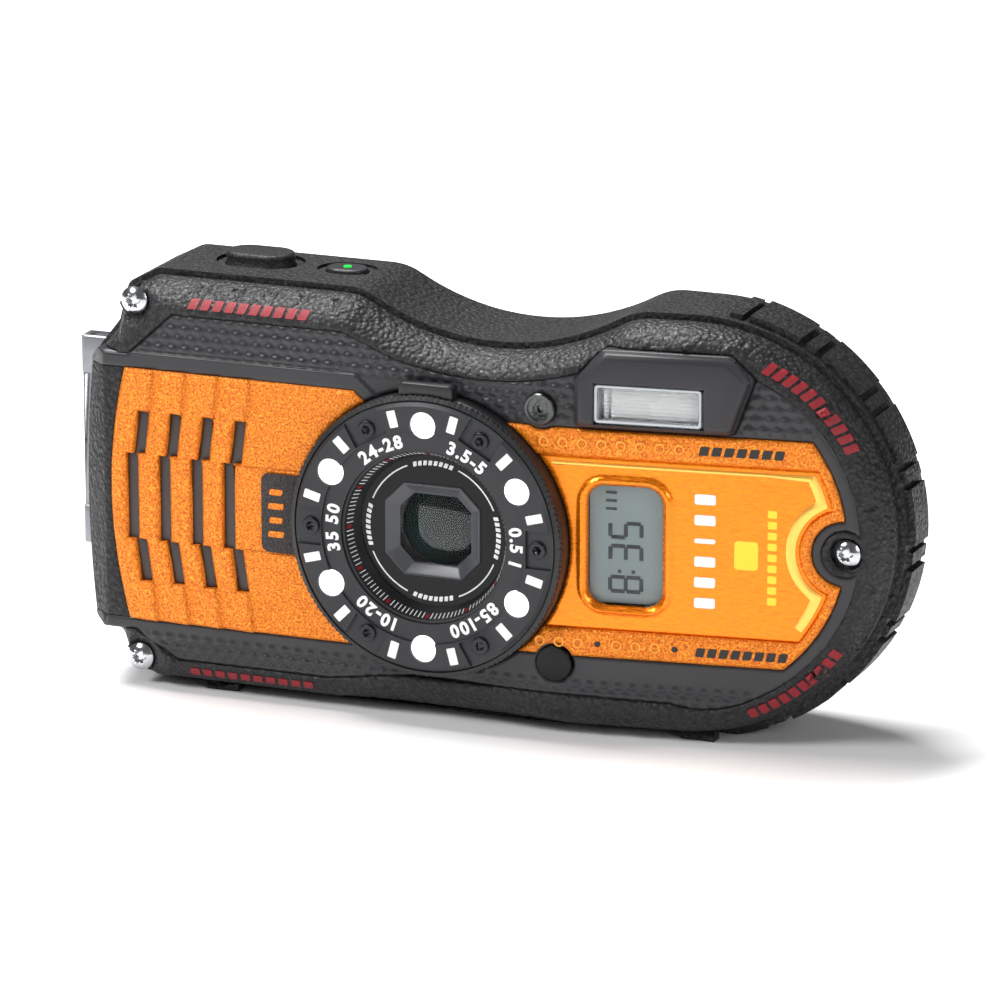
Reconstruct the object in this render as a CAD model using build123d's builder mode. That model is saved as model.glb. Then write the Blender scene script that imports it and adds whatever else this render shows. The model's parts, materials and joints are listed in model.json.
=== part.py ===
"""Rugged waterproof compact camera, built as separate pieces.

Frame: millimetres, +Z up, -Y out of the lens, +X to the right seen from the front.
The origin is the mouth of the tripod socket, on the plane that the camera stands on.
The front face is flat from the grip to the lens, and bends back to the right of the lens.
Depths are measured from that face towards the back.
"""

import math
import os

from build123d import *

# ---- driving dimensions ----------------------------------------------------
FOOT = 0.3                        # gap between the case and the standing plane
BODY_TOP = 62.1                   # top of the case, without the buttons
LEFT_X = -62.1                    # outermost point of the grip end
END_R = 30.9                      # radius of the round end
END_X, END_Z = 30.6, FOOT + 30.9  # centre of the round end
FACE_Y = -13.0                    # front face, from the grip to the lens
BACK_Y = 15.0                     # back face of the case
BEND_X = 12.0                     # where the front face starts to bend back
BEND_DEG = 8.5                    # how far it bends back
SEAM = 6.5                        # depth of the seam between the case halves
WALL = 1.8                        # case wall
LEDGE = 0.9                       # front shell stands this far inside the rear shell
FLOOR = 1.7                       # depth of the recess that holds the front plates
INNER = 3.4                       # depth of the front wall's inner side
FRONT_ROUND, REAR_ROUND = 2.4, 6.5  # rounding of the outer edges, front and back
ROUND_START = 10.4                # depth at which the rounded rear corners are still thick enough
OUTSIDE = 70.0                    # well clear of the case, for cuts that run out of it

LENS_X, LENS_Z = -5.5, 28.6
RING_R = 20.9                     # base of the lens ring
BEZEL_R = 19.9
RING_Y = -16.0                    # front of the lens ring
LED_CIRCLE, LED_R = 16.6, 2.0     # six lamps round the lens
RING_SCREW_CIRCLE = 17.5          # six screws between them
LENS_PLATE_Y = -12.0              # gloss plate round the lens

SHUTTER_X, POWER_X = -38.7, -25.0
BUTTON_Y = 3.0                    # middle of the buttons on the top
BUTTON_GAP = 0.2                  # play round a button in its hole
PAD_X, PAD_Z = -41.5, 28.0        # four-way pad on the back
BACK_BUTTONS = {"play_button": (-52.5, 41.0), "movie_button": (-31.0, 46.0), "menu_button": (-50.5, 13.5),
                "mode_button": (-32.5, 13.5)}
ROCKER_X, ROCKER_Z = -47.0, 51.0            # zoom rocker on the back
DOOR = (-44.8, -12.8)             # battery door, left and right ends
DOOR_FRONT_Y, HINGE_Y, HINGE_Z = -3.4, 9.3, 1.4
SOCKET_R, SOCKET_DEPTH = 2.6, 5.5  # 1/4-20 tripod thread at its minor diameter

LATCH_X, LATCH_Y = -28.0, -1.0    # latch in the battery door
TUBE_Y = 2.8                      # axis of the lying part of the lens
RING_FLOOR_Y = FACE_Y + FLOOR     # seat of the lens ring

BEND_RAD = math.radians(BEND_DEG)
LENS_AXIS = Plane(origin=(LENS_X, 0, LENS_Z), x_dir=(1, 0, 0), z_dir=(0, -1, 0))
CASE_SCREWS = [(-52.4, -11.2, 58.2), (-52.2, -11.2, 4.4), (54.9, -5.4, 30.0)]
AF_LAMP = (11.2, 48.6)
REMOTE = (13.3, 11.1)
SCREW_R = 0.9                     # case screw shank
TREAD_ANGLES = [79, 58, 37, 16, -6, -27, -48, -66]
CLOCK = (23.5, 29.05, 11.0, 17.7)           # x, z, width, height
FLASH = (27.1, 50.2, 15.8, 6.0)
HOOD = [(16.4, 46.6), (16.4, 53.4), (20.4, 58.0), (38.5, 58.0), (42.0, 55.0), (39.0, 46.6)]


def face_y(x):
    """Y of the front face at x."""
    return FACE_Y + max(0.0, x - BEND_X) * math.tan(BEND_RAD)


def face_plane(x, z, depth=0.0):
    """Plane on the front face at (x, z), with its normal pointing out of the face."""
    turn = BEND_RAD if x > BEND_X else 0.0
    outward = Vector(math.sin(turn), -math.cos(turn), 0)
    return Plane(
        origin=Vector(x, face_y(x), z) - outward * depth,
        x_dir=(math.cos(turn), math.sin(turn), 0),
        z_dir=outward,
    )


# ---- outlines, seen from the front -----------------------------------------
def case_outline(inset=0.0):
    """The whole case: lobed grip end, saddle in the top edge, round right end."""
    grip_low, grip_high = (-60.3, 9.4), (-60.4, 49.4)
    saddle = [(-18.5, BODY_TOP), (1.5, 56.1), (22.5, BODY_TOP)]
    with BuildSketch(Plane.XZ) as outline:
        with BuildLine():
            Polyline((END_X, FOOT), (-50.4, FOOT), (-55.0, 2.8), (-56.4, 6.9), grip_low)
            ThreePointArc(grip_low, (LEFT_X, 29.0), grip_high)
            Polyline(grip_high, (-57.0, 53.8), (-55.5, 59.6), (-50.6, BODY_TOP), saddle[0])
            ThreePointArc(*saddle)
            Line(saddle[2], (END_X, BODY_TOP))
            ThreePointArc((END_X, BODY_TOP), (END_X + END_R, END_Z), (END_X, FOOT))
        make_face()
        for x in (-50.4, -55.0, grip_low[0], grip_high[0], -55.5, -50.6):
            fillet(outline.vertices().filter_by_position(Axis.X, x - 0.05, x + 0.05), 2.0)
        for x in (saddle[0][0], saddle[2][0]):
            fillet(outline.vertices().filter_by_position(Axis.X, x - 0.05, x + 0.05), 9)
        if inset:
            offset(amount=-inset)
    return outline.sketch


def round_ended(left, low, high, radius):
    """Band between two heights that ends in an arc round the case's own centre."""
    middle = (low + high) / 2
    with BuildSketch(Plane.XZ) as band:
        with Locations((END_X, END_Z)):
            Circle(radius)
        with Locations((END_X, middle)):
            Rectangle(3 * radius, high - low, mode=Mode.INTERSECT)
        with Locations(((left + END_X) / 2, middle)):
            Rectangle(END_X - left, high - low)
    return band.sketch


def grip_outline():
    """The grip plate, with its bowed outer edge and its side to the lens ring."""
    with BuildSketch(Plane.XZ) as outline:
        with BuildLine():
            Polyline((-53.1, 10.6), (-18.0, 10.6), (-8.0, 20.0), (-8.0, 40.0), (-17.5, 48.4), (-53.5, 48.4))
            ThreePointArc((-53.5, 48.4), (-55.8, 29.5), (-53.1, 10.6))
        make_face()
    return outline.sketch


def recess_outline():
    """Inner edge of the bumper. The recess runs out over the grip end."""
    right_top = (END_X + 11.3, END_Z + 23.7)
    right_low = (END_X + 11.3, END_Z - 23.7)
    with BuildSketch(Plane.XZ) as outline:
        with BuildLine():
            Polyline((-19.2, 57.0), (-46.0, 57.0), (-53.0, 50.6), (-OUTSIDE, 50.6), (-OUTSIDE, 8.8))
            Polyline((-OUTSIDE, 8.8), (-52.5, 8.8), (-45.8, 4.8), (-22.0, 4.8), (-8.0, 6.8), (30.0, 6.1))
            ThreePointArc((30.0, 6.1), (36.3, 5.7), right_low)
            ThreePointArc(right_low, (END_X + 26.3, END_Z), right_top)
            Polyline(right_top, (38.5, 58.0), (20.4, 58.0), (16.7, 54.3))
            ThreePointArc((16.7, 54.3), (1.5, 52.0), (-11.5, 53.9))
            Line((-11.5, 53.9), (-19.2, 57.0))
        make_face()
        with Locations(CASE_SCREWS[2][::2]):
            Circle(3.3, mode=Mode.SUBTRACT)
    return outline.sketch


def hood_outline():
    """Flash hood, with its sloping right side."""
    with BuildSketch(Plane.XZ) as outline:
        with BuildLine():
            Polyline(*HOOD, close=True)
        make_face()
    return outline.sketch


def grip_slots():
    """Four columns of three slots in the grip plate."""
    width, pitch = 1.8, 5.1
    column = [
        ((-52.2, 35.7), (-51.4, 42.2)),
        ((-53.3, 22.8), (-53.3, 35.7)),
        ((-51.2, 16.5), (-52.1, 22.8)),
    ]
    with BuildSketch(Plane.XZ) as slots:
        for shift in (pitch * index for index in range(4)):
            for (low_x, low_z), (high_x, high_z) in column:
                with BuildLine():
                    Polyline(
                        (low_x + shift, low_z),
                        (low_x + width + shift, low_z),
                        (high_x + width + shift, high_z),
                        (high_x + shift, high_z),
                        close=True,
                    )
                make_face()
    return slots.sketch


def disc(x, z, radius):
    """Round hole or disc, seen from the front."""
    with BuildSketch(Plane.XZ) as shape:
        with Locations((x, z)):
            Circle(radius)
    return shape.sketch


# ---- solids that follow the bent face --------------------------------------
def face_slab(front, back):
    """Slab between two depths behind the bent front face."""
    left, right = -75.0, 75.0
    with BuildPart() as slab:
        with BuildSketch(Plane.XY.offset(-5)) as plan:
            with BuildLine():
                Polyline(
                    (left, FACE_Y + front),
                    (BEND_X, FACE_Y + front),
                    (right, face_y(right) + front),
                    (right, face_y(right) + back),
                    (BEND_X, FACE_Y + back),
                    (left, FACE_Y + back),
                    close=True,
                )
            make_face()
            fillet(plan.vertices().filter_by_position(Axis.X, BEND_X - 1, BEND_X + 1), radius=60)
        extrude(amount=80)
    return slab.part


def plate(outline, front, back):
    """Plate with the given front-view outline, between two depths behind the face."""
    with BuildPart() as piece:
        extrude(outline, amount=40, both=True)
        add(face_slab(front, back), mode=Mode.INTERSECT)
    return piece.part


def side_bevel():
    """Wedge that takes the front edge off the grip end."""
    with BuildPart() as wedge:
        with BuildSketch(Plane.XY.offset(-5)):
            with BuildLine():
                Polyline((-56.6, -13.5), (-56.6, -13.0), (-62.6, -8.4), (-OUTSIDE, -8.4), (-OUTSIDE, -13.5),
                         close=True)
            make_face()
        extrude(amount=80)
    return wedge.part


def block(x, y, z):
    """Box from three (low, high) pairs."""
    low = Vector(x[0], y[0], z[0])
    size = Vector(x[1], y[1], z[1]) - low
    return Pos(*(low + size * 0.5)) * Box(*size, mode=Mode.PRIVATE)


def turned(*profile):
    """Solid turned round the lens axis, from (radius, y) points."""
    with BuildPart() as piece:
        with BuildSketch(Plane(origin=(LENS_X, 0, LENS_Z), x_dir=(1, 0, 0), z_dir=(0, 0, 1))):
            with BuildLine():
                Polyline(*profile, close=True)
            make_face()
        revolve(axis=Axis((LENS_X, 0, LENS_Z), (0, 1, 0)))
    return piece.part


def upright(y, x, z):
    """Plane at y, facing the front, with its centre at (x, z)."""
    return Plane(origin=(x, y, z), x_dir=(1, 0, 0), z_dir=(0, -1, 0))


def rod(y_front, y_back, x, z, radius):
    """Round bar along Y."""
    with BuildPart() as bar:
        with BuildSketch(upright(y_back, x, z)):
            Circle(radius)
        extrude(amount=y_back - y_front)
    return bar.part


def pill(low, high, x, length, width):
    """Upright pill-shaped bar on the top of the case."""
    with BuildPart() as bar:
        with BuildSketch(Plane.XY.offset(low)):
            with Locations((x, BUTTON_Y)):
                SlotOverall(length, width)
        extrude(amount=high - low)
    return bar.part


def tread(start, stop, radius):
    """Raised stretch of the round end's rim, between two angles."""
    reach = 2 * END_R
    with BuildPart() as stretch:
        with BuildSketch(upright(8.0, END_X, END_Z)):
            Circle(radius)
            with BuildLine():
                Polyline(
                    (0, 0),
                    (reach * math.cos(math.radians(start)), reach * math.sin(math.radians(start))),
                    (reach * math.cos(math.radians(stop)), reach * math.sin(math.radians(stop))),
                    close=True,
                )
            make_face(mode=Mode.INTERSECT)
        extrude(amount=20)
        add(face_slab(SEAM + 1.2, 40), mode=Mode.INTERSECT)
    return stretch.part


def octagon(width, height, corner):
    """Window outline: a rectangle with cut corners."""
    with BuildSketch() as window:
        Rectangle(width, height)
        chamfer(window.vertices(), corner)
    return window.sketch


def grip_end(front, low, high):
    """Part of the grip end's outer edge, between two heights, bevelled along its front."""
    with BuildPart() as end:
        add(plate(case_outline(LEDGE), front, 5.0))
        add(block((-OUTSIDE, -56), (-14, 0), (low, high)), mode=Mode.INTERSECT)
        add(side_bevel(), mode=Mode.SUBTRACT)
    return end.part


pieces = {}

# ---- case halves -----------------------------------------------------------
recess = recess_outline()
grip = grip_outline()
ring_hole = disc(LENS_X, LENS_Z, RING_R + 0.1)
strap_lugs = [block((-65.3, -58.6), (-2.6, 0.8), (z, z + 5.8)) for z in (18.0, 43.9)]
strap_notch = block((-OUTSIDE, -59.3), (-4.4, 20), (24.3, 43.4))
strap_liner = block((-61.0, -57.5), (-5.6, ROUND_START), (22.5, 45.2))
door_hole = block((DOOR[0] - 0.2, DOOR[1] + 0.2), (DOOR_FRONT_Y - 0.2, HINGE_Y + 1.35), (-1, 3.0))
DOOR_X = (DOOR[0] + DOOR[1]) / 2
hinge_pin = Pos(DOOR_X, HINGE_Y, HINGE_Z) * Rotation(0, 90, 0) * Cylinder(0.6, DOOR[1] - DOOR[0] + 2)
with BuildPart() as rear_glass:
    with BuildSketch(upright(BACK_Y, 10.2, 29.8)):
        RectangleRounded(66.4, 43.6, 2.5)
    extrude(amount=1.4)
display_hole = block((-21.4, 41.8), (12, 16), (9.6, 50.0))

with BuildPart() as front_shell:
    add(plate(case_outline(LEDGE), 0, SEAM))
    fillet(front_shell.faces().sort_by(Axis.Y)[0].outer_wire().edges(), FRONT_ROUND)
    add(plate(case_outline(LEDGE + WALL), INNER, SEAM + 1), mode=Mode.SUBTRACT)
    for x, y, z in CASE_SCREWS:
        add(rod(y, y + 4.4, x, z, 1.9))
    add(plate(recess, -4, FLOOR), mode=Mode.SUBTRACT)
    add(block((-OUTSIDE, -56), (-14, -8.0), (8.8, 50.6)), mode=Mode.SUBTRACT)
    add(rod(-14, -5, LENS_X, LENS_Z, 13.0), mode=Mode.SUBTRACT)
    for x, z, width, height in (CLOCK, FLASH):
        with BuildSketch(face_plane(x, z)):
            Rectangle(width, height)
        extrude(amount=-5, mode=Mode.SUBTRACT)
    for x, z in (AF_LAMP, REMOTE):
        add(rod(-14, -5, x, z, 1.6), mode=Mode.SUBTRACT)
    for x, y, z in CASE_SCREWS:
        add(rod(-14, y, x, z, 2.5), mode=Mode.SUBTRACT)
        add(rod(-14, y + 9, x, z, SCREW_R), mode=Mode.SUBTRACT)
    with BuildSketch(LENS_AXIS):
        with PolarLocations(RING_SCREW_CIRCLE, 6):
            Circle(0.7)
    extrude(amount=14, mode=Mode.SUBTRACT)
    for x in (-40.0, 33.0):
        add(block((x - 2.5, x + 2.5), (face_y(x) + 3.6, face_y(x) + 5.8), (0, 1.8)))
pieces["front_shell"] = front_shell

with BuildPart() as rear_shell:
    with BuildSketch(Plane.XZ.offset(-BACK_Y)):
        add(case_outline())
    extrude(amount=30)
    fillet(rear_shell.faces().sort_by(Axis.Y)[-1].outer_wire().edges(), REAR_ROUND)
    for angle, following in zip(TREAD_ANGLES, TREAD_ANGLES[1:] + [-84]):
        add(tread(following + 3.5, angle - 3.5, END_R + 1.0))
        add(tread(angle - 1.6, angle + 1.6, END_R + 0.8))
    add(face_slab(SEAM, 60), mode=Mode.INTERSECT)
    for depth, inset in ((WALL, WALL + 3.0), (WALL + 3.0, WALL)):
        with BuildSketch(Plane.XZ.offset(depth - BACK_Y)):
            add(case_outline(inset))
        extrude(amount=30, mode=Mode.SUBTRACT)
    add(strap_liner)
    for x, y, z in CASE_SCREWS:
        add(rod(y + 4.4 if y < -6 else 1.0, 14 if x > 0 else ROUND_START, x, z, 1.9))
    add(face_slab(SEAM, 60), mode=Mode.INTERSECT)
    for x, y, z in CASE_SCREWS:
        add(rod(-14, y + 9, x, z, SCREW_R), mode=Mode.SUBTRACT)
    for cut in (rear_glass.part, display_hole, *strap_lugs, strap_notch, door_hole, hinge_pin):
        add(cut, mode=Mode.SUBTRACT)
    add(pill(61.6, 64, SHUTTER_X, 13.4, 9.6), mode=Mode.SUBTRACT)
    add(pill(58, 64, SHUTTER_X, 10.4 + 2 * BUTTON_GAP, 6.6 + 2 * BUTTON_GAP), mode=Mode.SUBTRACT)
    add(pill(61.7, 64, POWER_X, 9.0, 7.0), mode=Mode.SUBTRACT)
    add(pill(58, 64, POWER_X, 6.2 + 2 * BUTTON_GAP, 4.4 + 2 * BUTTON_GAP), mode=Mode.SUBTRACT)
    for x, z in BACK_BUTTONS.values():
        add(rod(12, 17, x, z, 2.9 + BUTTON_GAP), mode=Mode.SUBTRACT)
    add(rod(12, 17, PAD_X, PAD_Z, 8.3 + BUTTON_GAP), mode=Mode.SUBTRACT)
    add(rod(12, 17, ROCKER_X, ROCKER_Z, 1.5), mode=Mode.SUBTRACT)
    with BuildSketch(upright(17, ROCKER_X, ROCKER_Z)):
        SlotOverall(12.8, 5.8)
    extrude(amount=3.1, mode=Mode.SUBTRACT)
    with BuildSketch(Plane.XY.offset(-1)):
        Circle(5.0)
    extrude(amount=6, mode=Mode.SUBTRACT)
    for x in (-48.2, 33.0):
        add(block((x - 2.0, x + 2.0), (7.0, 9.5), (0, 1.8)))
pieces["rear_shell"] = rear_shell

with BuildSketch(Plane.XZ) as seal_outline:
    add(case_outline(LEDGE + WALL + 0.1))
    with Locations(*(screw[::2] for screw in CASE_SCREWS)):
        Circle(2.0, mode=Mode.SUBTRACT)
with BuildSketch(Plane.XZ) as seal_inside:
    add(seal_outline.sketch)
    offset(amount=-1.0)
with BuildPart() as main_seal:
    add(plate(seal_outline.sketch, SEAM - 0.8, SEAM + 0.8))
    add(plate(seal_inside.sketch, SEAM - 1, SEAM + 1), mode=Mode.SUBTRACT)
pieces["main_seal"] = main_seal

with BuildPart() as case_screws:
    for x, y, z in CASE_SCREWS:
        with BuildSketch(upright(y, x, z)):
            Circle(2.05)
        extrude(amount=1.0)
        with BuildSketch(upright(y + 9, x, z)):
            Circle(SCREW_R)
        extrude(amount=9)
    fillet(case_screws.edges().filter_by(GeomType.CIRCLE).filter_by(lambda edge: abs(edge.radius - 2.05) < 0.01)
           .filter_by(lambda edge: any(abs(edge.center().Y - y + 1.0) < 0.01 for x, y, z in CASE_SCREWS)), 0.45)
    for x, y, z in CASE_SCREWS:
        with BuildSketch(upright(y - 1.0, x, z)):
            with PolarLocations(0.75, 6):
                Circle(0.38)
            Circle(0.75)
        extrude(amount=-0.6, mode=Mode.SUBTRACT)
pieces["case_screws"] = case_screws

# ---- front plates ----------------------------------------------------------
with BuildPart() as side_grip:
    add(grip_end(0.2, 10.6, 48.4))
    add(plate(case_outline(LEDGE), 0.2, FLOOR))
    add(block((-OUTSIDE, -50), (-14, 0), (10.6, 48.4)), mode=Mode.INTERSECT)
    add(plate(grip, -2, 3), mode=Mode.SUBTRACT)
    add(side_bevel(), mode=Mode.SUBTRACT)
pieces["side_grip"] = side_grip

with BuildPart() as grip_plate:
    add(plate(grip, -0.2, FLOOR))
    add(plate(grip_slots(), -3, 4), mode=Mode.SUBTRACT)
    add(plate(ring_hole, -3, 4), mode=Mode.SUBTRACT)
pieces["grip_plate"] = grip_plate

with BuildPart() as grip_inserts:
    add(plate(grip_slots(), 0.5, FLOOR))
pieces["grip_inserts"] = grip_inserts

with BuildPart() as grip_badge:
    with BuildSketch(upright(-13.2, -27.2, 29.1)):
        RectangleRounded(9.0, 11.8, 1.2)
    extrude(amount=0.5)
    add(plate(ring_hole, -3, 4), mode=Mode.SUBTRACT)
pieces["grip_badge"] = grip_badge

with BuildPart() as flash_hood:
    add(plate(hood_outline(), -0.7, FLOOR))
    add(plate(recess, -3, 3), mode=Mode.INTERSECT)
    with BuildSketch(face_plane(FLASH[0], FLASH[1], -0.65)):
        with BuildLine():
            Polyline(*((x - FLASH[0], z - FLASH[1]) for x, z in HOOD), close=True)
        make_face()
    extrude(amount=1.0, taper=40)
    with BuildSketch(face_plane(FLASH[0], FLASH[1], -4)):
        Rectangle(FLASH[2], FLASH[3])
    extrude(amount=-8, mode=Mode.SUBTRACT)
pieces["flash_hood"] = flash_hood

with BuildSketch(Plane.XZ) as panel_outline:
    add(round_ended(3.0, 16.5, 42.0, 23.1))
    with Locations(CASE_SCREWS[2][::2]):
        Circle(6.4, mode=Mode.SUBTRACT)
with BuildSketch(Plane.XZ) as right_outline:
    add(round_ended(2.0, 12.5, 46.0, 24.4))
    for centre, radius in ((AF_LAMP, 3.1), (REMOTE, 3.0), (CASE_SCREWS[2][::2], 4.9)):
        with Locations(centre):
            Circle(radius, mode=Mode.SUBTRACT)

with BuildPart() as face_plate:
    add(plate(right_outline.sketch, -0.1, FLOOR))
    add(plate(panel_outline.sketch, -3, 4), mode=Mode.SUBTRACT)
    add(plate(ring_hole, -3, 4), mode=Mode.SUBTRACT)
pieces["face_plate"] = face_plate

with BuildPart() as display_panel:
    add(plate(panel_outline.sketch, 0.5, FLOOR))
    add(plate(ring_hole, -3, 4), mode=Mode.SUBTRACT)
    with BuildSketch(face_plane(CLOCK[0], CLOCK[1], -1)):
        RectangleRounded(CLOCK[2], CLOCK[3], 2.6)
    extrude(amount=-4, mode=Mode.SUBTRACT)
pieces["display_panel"] = display_panel

with BuildPart() as trim_frame:
    add(plate(recess, 0.4, FLOOR))
    add(plate(case_outline(LEDGE), -1, 5), mode=Mode.INTERSECT)
    add(grip_end(0.4, 8.8, 50.6))
    for outline in (grip, ring_hole, hood_outline(), disc(*AF_LAMP, 2.1), disc(*REMOTE, 2.75)):
        add(plate(outline, -3, 6), mode=Mode.SUBTRACT)
    add(plate(right_outline.sketch, -3, 6), mode=Mode.SUBTRACT)
    add(side_grip.part, mode=Mode.SUBTRACT)
    add(side_bevel(), mode=Mode.SUBTRACT)
pieces["trim_frame"] = trim_frame

# ---- windows and flash -----------------------------------------------------
with BuildPart() as flash_window:
    with BuildSketch(face_plane(FLASH[0], FLASH[1], 0.4)):
        Rectangle(FLASH[2], FLASH[3])
    extrude(amount=1.3)
pieces["flash_window"] = flash_window

with BuildPart() as flash_reflector:
    with BuildSketch(face_plane(FLASH[0], FLASH[1], 4.6)):
        Rectangle(FLASH[2] - 0.2, FLASH[3] - 0.2)
    extrude(amount=4.1)
    with BuildSketch(face_plane(FLASH[0], FLASH[1], 0.5)):
        Rectangle(FLASH[2] - 1.2, FLASH[3] - 0.8)
    extrude(amount=-3.4, taper=20, mode=Mode.SUBTRACT)
pieces["flash_reflector"] = flash_reflector

with BuildPart() as flash_tube:
    tube_plane = face_plane(FLASH[0], FLASH[1], 3.0)
    with BuildSketch(Plane(origin=tube_plane.origin, x_dir=(0, 0, 1), z_dir=tube_plane.x_dir)):
        Circle(0.8)
    extrude(amount=5.8, both=True)
pieces["flash_tube"] = flash_tube

with BuildPart() as clock_window:
    with BuildSketch(face_plane(CLOCK[0], CLOCK[1], 1.7)):
        RectangleRounded(CLOCK[2], CLOCK[3], 2.6)
    extrude(amount=0.8)
pieces["clock_window"] = clock_window

with BuildPart() as clock_lcd:
    with BuildSketch(face_plane(CLOCK[0], CLOCK[1], 2.9)):
        Rectangle(CLOCK[2] - 0.2, CLOCK[3] - 0.2)
    extrude(amount=1.0)
pieces["clock_lcd"] = clock_lcd

with BuildPart() as af_lamp_lens:
    add(rod(FACE_Y + 0.5, FACE_Y + FLOOR, *AF_LAMP, 2.1))
    add(rod(FACE_Y, FACE_Y + 3.4, *AF_LAMP, 1.5))
pieces["af_lamp_lens"] = af_lamp_lens

with BuildPart() as remote_window:
    add(rod(FACE_Y + 0.3, FACE_Y + FLOOR, *REMOTE, 2.7))
    add(rod(FACE_Y + 0.3, FACE_Y + 3.4, *REMOTE, 1.5))
pieces["remote_window"] = remote_window

# ---- lens ring -------------------------------------------------------------
with BuildPart() as ring_base:
    add(block((-9.6, -1.4), (-14.9, -12.6), (46.0, 51.0)))
    fillet(ring_base.edges().filter_by(Axis.Y).group_by(Axis.Z)[-1], 0.8)
    add(rod(-17, -12, LENS_X, LENS_Z, RING_R - 0.1), mode=Mode.SUBTRACT)
    add(turned((12.95, -15.2), (20.3, -15.2), (RING_R, -14.6), (RING_R, RING_FLOOR_Y), (12.95, RING_FLOOR_Y)))
    add(turned((14.0, -12.5), (19.4, -12.5), (19.4, -10), (14.0, -10)), mode=Mode.SUBTRACT)
    with BuildSketch(LENS_AXIS.offset(9)):
        with PolarLocations(LED_CIRCLE, 6, start_angle=30):
            Circle(1.5)
        with PolarLocations(RING_SCREW_CIRCLE, 6):
            Circle(0.7)
    extrude(amount=8, mode=Mode.SUBTRACT)
    with BuildSketch(LENS_AXIS.offset(14.2)):
        with PolarLocations(LED_CIRCLE, 6, start_angle=30):
            Circle(LED_R)
    extrude(amount=3, mode=Mode.SUBTRACT)
pieces["ring_base"] = ring_base

with BuildPart() as ring_bezel:
    add(turned((12.95, -15.2), (12.95, -15.5), (15.8, -15.6), (15.8, RING_Y), (19.4, RING_Y), (BEZEL_R, -15.5),
               (BEZEL_R, -15.2)))
    with BuildSketch(LENS_AXIS.offset(15.5)):
        with PolarLocations(18.9, 6):
            Rectangle(6.2, 5.6)
    extrude(amount=2, mode=Mode.SUBTRACT)
    with BuildSketch(LENS_AXIS.offset(14)):
        with PolarLocations(LED_CIRCLE, 6, start_angle=30):
            Circle(LED_R)
        with PolarLocations(RING_SCREW_CIRCLE, 6):
            Circle(0.7)
    extrude(amount=4, mode=Mode.SUBTRACT)
pieces["ring_bezel"] = ring_bezel

with BuildPart() as ring_screws:
    with BuildSketch(LENS_AXIS.offset(15.5)):
        with PolarLocations(RING_SCREW_CIRCLE, 6):
            Circle(1.27)
    extrude(amount=0.45)
    with BuildSketch(LENS_AXIS.offset(15.65)):
        with PolarLocations(RING_SCREW_CIRCLE, 6):
            RegularPolygon(0.65, 6)
    extrude(amount=1, mode=Mode.SUBTRACT)
    with BuildSketch(LENS_AXIS.offset(15.5)):
        with PolarLocations(RING_SCREW_CIRCLE, 6):
            Circle(0.7)
    extrude(amount=-5.6)
pieces["ring_screws"] = ring_screws

with BuildPart() as led_board:
    add(turned((14.1, -12.4), (19.3, -12.4), (19.3, -11.4), (14.1, -11.4)))
    with BuildSketch(LENS_AXIS.offset(9)):
        with PolarLocations(RING_SCREW_CIRCLE, 6):
            Circle(0.9)
    extrude(amount=8, mode=Mode.SUBTRACT)
    with BuildSketch(LENS_AXIS.offset(12.4)):
        with PolarLocations(LED_CIRCLE, 6, start_angle=30):
            Rectangle(1.6, 1.6)
    extrude(amount=0.8)
pieces["led_board"] = led_board

with BuildPart() as led_lenses:
    with BuildSketch(LENS_AXIS.offset(14.2)):
        with PolarLocations(LED_CIRCLE, 6, start_angle=30):
            Circle(LED_R)
    extrude(amount=1.7)
    fillet(led_lenses.faces().group_by(Axis.Y)[0].edges(), 0.5)
pieces["led_lenses"] = led_lenses

with BuildPart() as scale_ring:
    add(turned((12.5, -15.1), (12.9, -15.1), (12.9, -11.3), (12.5, -11.3), (12.5, LENS_PLATE_Y),
               (11.2, LENS_PLATE_Y)))
pieces["scale_ring"] = scale_ring

with BuildPart() as lens_plate:
    add(rod(LENS_PLATE_Y, -11.0, LENS_X, LENS_Z, 12.45))
    with BuildSketch(LENS_AXIS.offset(11.0)):
        add(octagon(11.2, 10.5, 2.2))
    with BuildSketch(LENS_AXIS.offset(12.0)):
        add(octagon(14.2, 13.2, 2.8))
    loft(mode=Mode.SUBTRACT)
pieces["lens_plate"] = lens_plate

# ---- optics: the light turns a corner and runs along the case ---------------
with BuildPart() as lens_window:
    add(rod(-10.9, -9.9, LENS_X, LENS_Z, 11.0))
pieces["lens_window"] = lens_window

with BuildPart() as lens_barrel:
    add(block((-12.6, 40.0), (-3.0, 8.6), (20.6, 36.6)))
    add(rod(-9.8, -2.6, LENS_X, LENS_Z, 12.8))
    add(block((-11.6, 39.0), (-2.2, 7.8), (21.6, 35.6)), mode=Mode.SUBTRACT)
    add(rod(-12, -1.0, LENS_X, LENS_Z, 9.0), mode=Mode.SUBTRACT)
pieces["lens_barrel"] = lens_barrel

with BuildPart() as front_element:
    with BuildSketch(Plane(origin=(LENS_X, 0, LENS_Z), x_dir=(1, 0, 0), z_dir=(0, 0, 1))):
        with BuildLine():
            Line((0, -4.6), (0, -8.6))
            ThreePointArc((0, -8.6), (4.6, -7.9), (8.6, -6.0))
            Polyline((8.6, -6.0), (9.0, -6.0), (9.0, -4.6), (0, -4.6))
        make_face()
    revolve(axis=Axis((LENS_X, 0, LENS_Z), (0, 1, 0)))
pieces["front_element"] = front_element

with BuildPart() as prism:
    with BuildSketch(Plane.XY.offset(LENS_Z - 5)):
        with BuildLine():
            Polyline((-11.4, -2.0), (-0.6, -2.0), (-0.6, 7.6), close=True)
        make_face()
    extrude(amount=10)
pieces["prism"] = prism


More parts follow.
